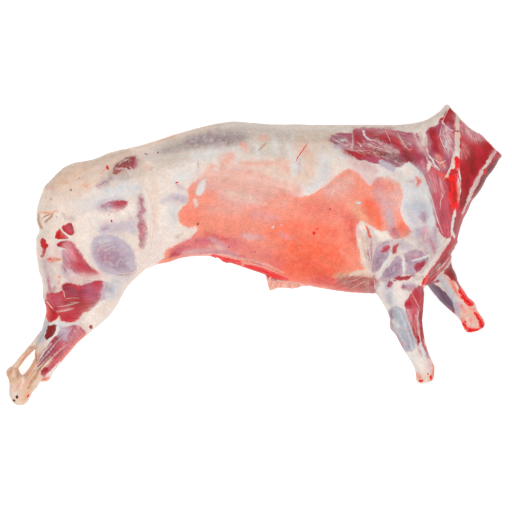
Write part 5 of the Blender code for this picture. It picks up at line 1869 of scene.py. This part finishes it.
class CARCASS_OT_stage(bpy.types.Operator):
    """Makes the white floor, the soft light and the camera straight above"""

    bl_idname = "carcass.stage"
    bl_label = "Studio"

    def execute(self, context):
        studio = context.scene.carcass_studio
        bpy.ops.mesh.primitive_plane_add(size=FLOOR_SIDE, location=(0, 0, FLOOR_HEIGHT))
        floor = context.object
        floor.name = "studio_floor"
        floor.data.materials.append(floor_material())

        world = bpy.data.worlds.new("studio_white")
        world.use_nodes = True
        sky = world.node_tree.nodes["Background"]
        sky.inputs["Color"].default_value = (1, 1, 1, 1)
        sky.inputs["Strength"].default_value = studio.sky
        context.scene.world = world
        for name, power, side, place in (
            ("key_light", studio.key, 2.6, Vector((-0.4, -0.7, 2.7))),
            ("fill_light", studio.fill, 2.0, Vector((1.6, 0.9, 2.4))),
        ):
            light = bpy.data.lights.new(name, "AREA")
            light.shape = "SQUARE"
            light.size = side
            light.energy = power
            lamp = bpy.data.objects.new(name, light)
            lamp.location = place
            lamp.rotation_euler = (-place).to_track_quat("-Z", "Y").to_euler()
            context.scene.collection.objects.link(lamp)

        camera = bpy.data.cameras.new("camera")
        camera.sensor_width = 36
        camera.lens = camera.sensor_width * studio.distance / (PICTURE_SIDE * PIXEL)
        camera.clip_end = 100
        seat = bpy.data.objects.new("camera", camera)
        seat.location = (*CENTRE, MIDDLE + studio.distance)
        context.scene.collection.objects.link(seat)
        context.scene.camera = seat
        context.scene.view_settings.view_transform = "Standard"
        return {"FINISHED"}


class CARCASS_OT_body(bpy.types.Operator):
    """Makes the carcass's fine skin, painted with its tissues, in five pieces that meet without a seam"""

    bl_idname = "carcass.body"
    bl_label = "Carcass"

    def execute(self, context):
        surface = context.scene.carcass_surface
        skin = even_skin(surface.grain)
        mesh = skin.data
        edges = rows_of(mesh.edges, "vertices", 2, 2)
        places = smoothed(vectors_of(mesh.vertices, "co"), edges, surface.passes)
        places[:, 2] = np.maximum(places[:, 2], 0)
        ease(places, picture_of(places, vectors_of(mesh.vertices, "normal")))
        mesh.vertices.foreach_set("co", places.ravel())
        mesh.update()
        paint = Paint(places, vectors_of(mesh.vertices, "normal"))
        paint_sides(paint)
        paint_belly(paint)
        paint_neck_cut(paint)
        places = paint.places + paint.normals * raise_relief(paint, edges)[:, None]
        low, high = np.array(CAD_LOW), np.array(CAD_HIGH)
        places = np.clip(places, low - (SKIN_PAST, SKIN_PAST, 0), high + SKIN_PAST)
        mesh.vertices.foreach_set("co", places.ravel())
        mesh.update()
        normals = vectors_of(mesh.vertices, "normal")
        faces = rows_of(mesh.loops, "vertex_index", 1, 4)  # all have four corners
        middles = places[faces, 0].mean(axis=1)
        material = flesh_material()
        for name, (start, end) in SKIN_CUTS.items():
            used, corners = np.unique(faces[(middles >= start) & (middles < end)], return_inverse=True)
            piece = skin_piece(name, paint, places[used], corners.reshape(-1, 4), used)
            finished(piece, material)
            piece.data.normals_split_custom_set_from_vertices(normals[used])
            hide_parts(NODE)
        bpy.data.objects.remove(skin)
        return {"FINISHED"}


class CARCASS_OT_torn_edge(bpy.types.Operator):
    """Makes the torn, pleated edge of the belly wall"""

    bl_idname = "carcass.torn_edge"
    bl_label = "Torn belly edge"

    def execute(self, context):
        torn_edge_piece()
        return {"FINISHED"}


class CARCASS_OT_strands(bpy.types.Operator):
    """Lays strands of silverskin and streaks of blood on the carcass"""

    bl_idname = "carcass.strands"
    bl_label = "Strands"

    def execute(self, context):
        strands_piece("silverskin_strands", STRANDS, silverskin_material())
        blood = tuple(context.scene.carcass_finish.blood)
        strands_piece("blood_streaks", STREAKS, wet_material("wet_streak", blood))
        return {"FINISHED"}


class CARCASS_OT_drops(bpy.types.Operator):
    """Puts drops of blood, clots and specks of fat on the carcass"""

    bl_idname = "carcass.drops"
    bl_label = "Drops"

    def execute(self, context):
        for tone in sorted({kind for _, _, _, kind in DROPS}):
            drops_piece(tone)
        return {"FINISHED"}


class CARCASS_PT_panel(bpy.types.Panel):
    """Lists the carcass's pieces and sizes"""

    bl_label = "Goat carcass"
    bl_idname = "CARCASS_PT_panel"
    bl_space_type = "VIEW_3D"
    bl_region_type = "UI"
    bl_category = "Carcass"

    def draw(self, context):
        for kind in OPERATORS:
            self.layout.operator(kind.bl_idname)
        for name, group in GROUPS.items():
            for prop in group.__annotations__:
                self.layout.prop(getattr(context.scene, name), prop)


GROUPS = {
    "carcass_surface": CarcassSurface,
    "carcass_finish": CarcassFinish,
    "carcass_studio": CarcassStudio,
}
OPERATORS = (
    CARCASS_OT_stage,
    CARCASS_OT_body,
    CARCASS_OT_torn_edge,
    CARCASS_OT_strands,
    CARCASS_OT_drops,
)


def register():
    """Adds the classes and the scene's settings."""
    for kind in (*GROUPS.values(), *OPERATORS, CARCASS_PT_panel):
        bpy.utils.register_class(kind)
    for name, group in GROUPS.items():
        setattr(bpy.types.Scene, name, PointerProperty(type=group))


def unregister():
    """Removes what register added."""
    for name in GROUPS:
        delattr(bpy.types.Scene, name)
    for kind in reversed((*GROUPS.values(), *OPERATORS, CARCASS_PT_panel)):
        bpy.utils.unregister_class(kind)


def main():
    """Makes the studio and every piece."""
    register()
    for kind in OPERATORS:
        group, name = kind.bl_idname.split(".")
        getattr(getattr(bpy.ops, group), name)()


if __name__ == "__main__":
    main()
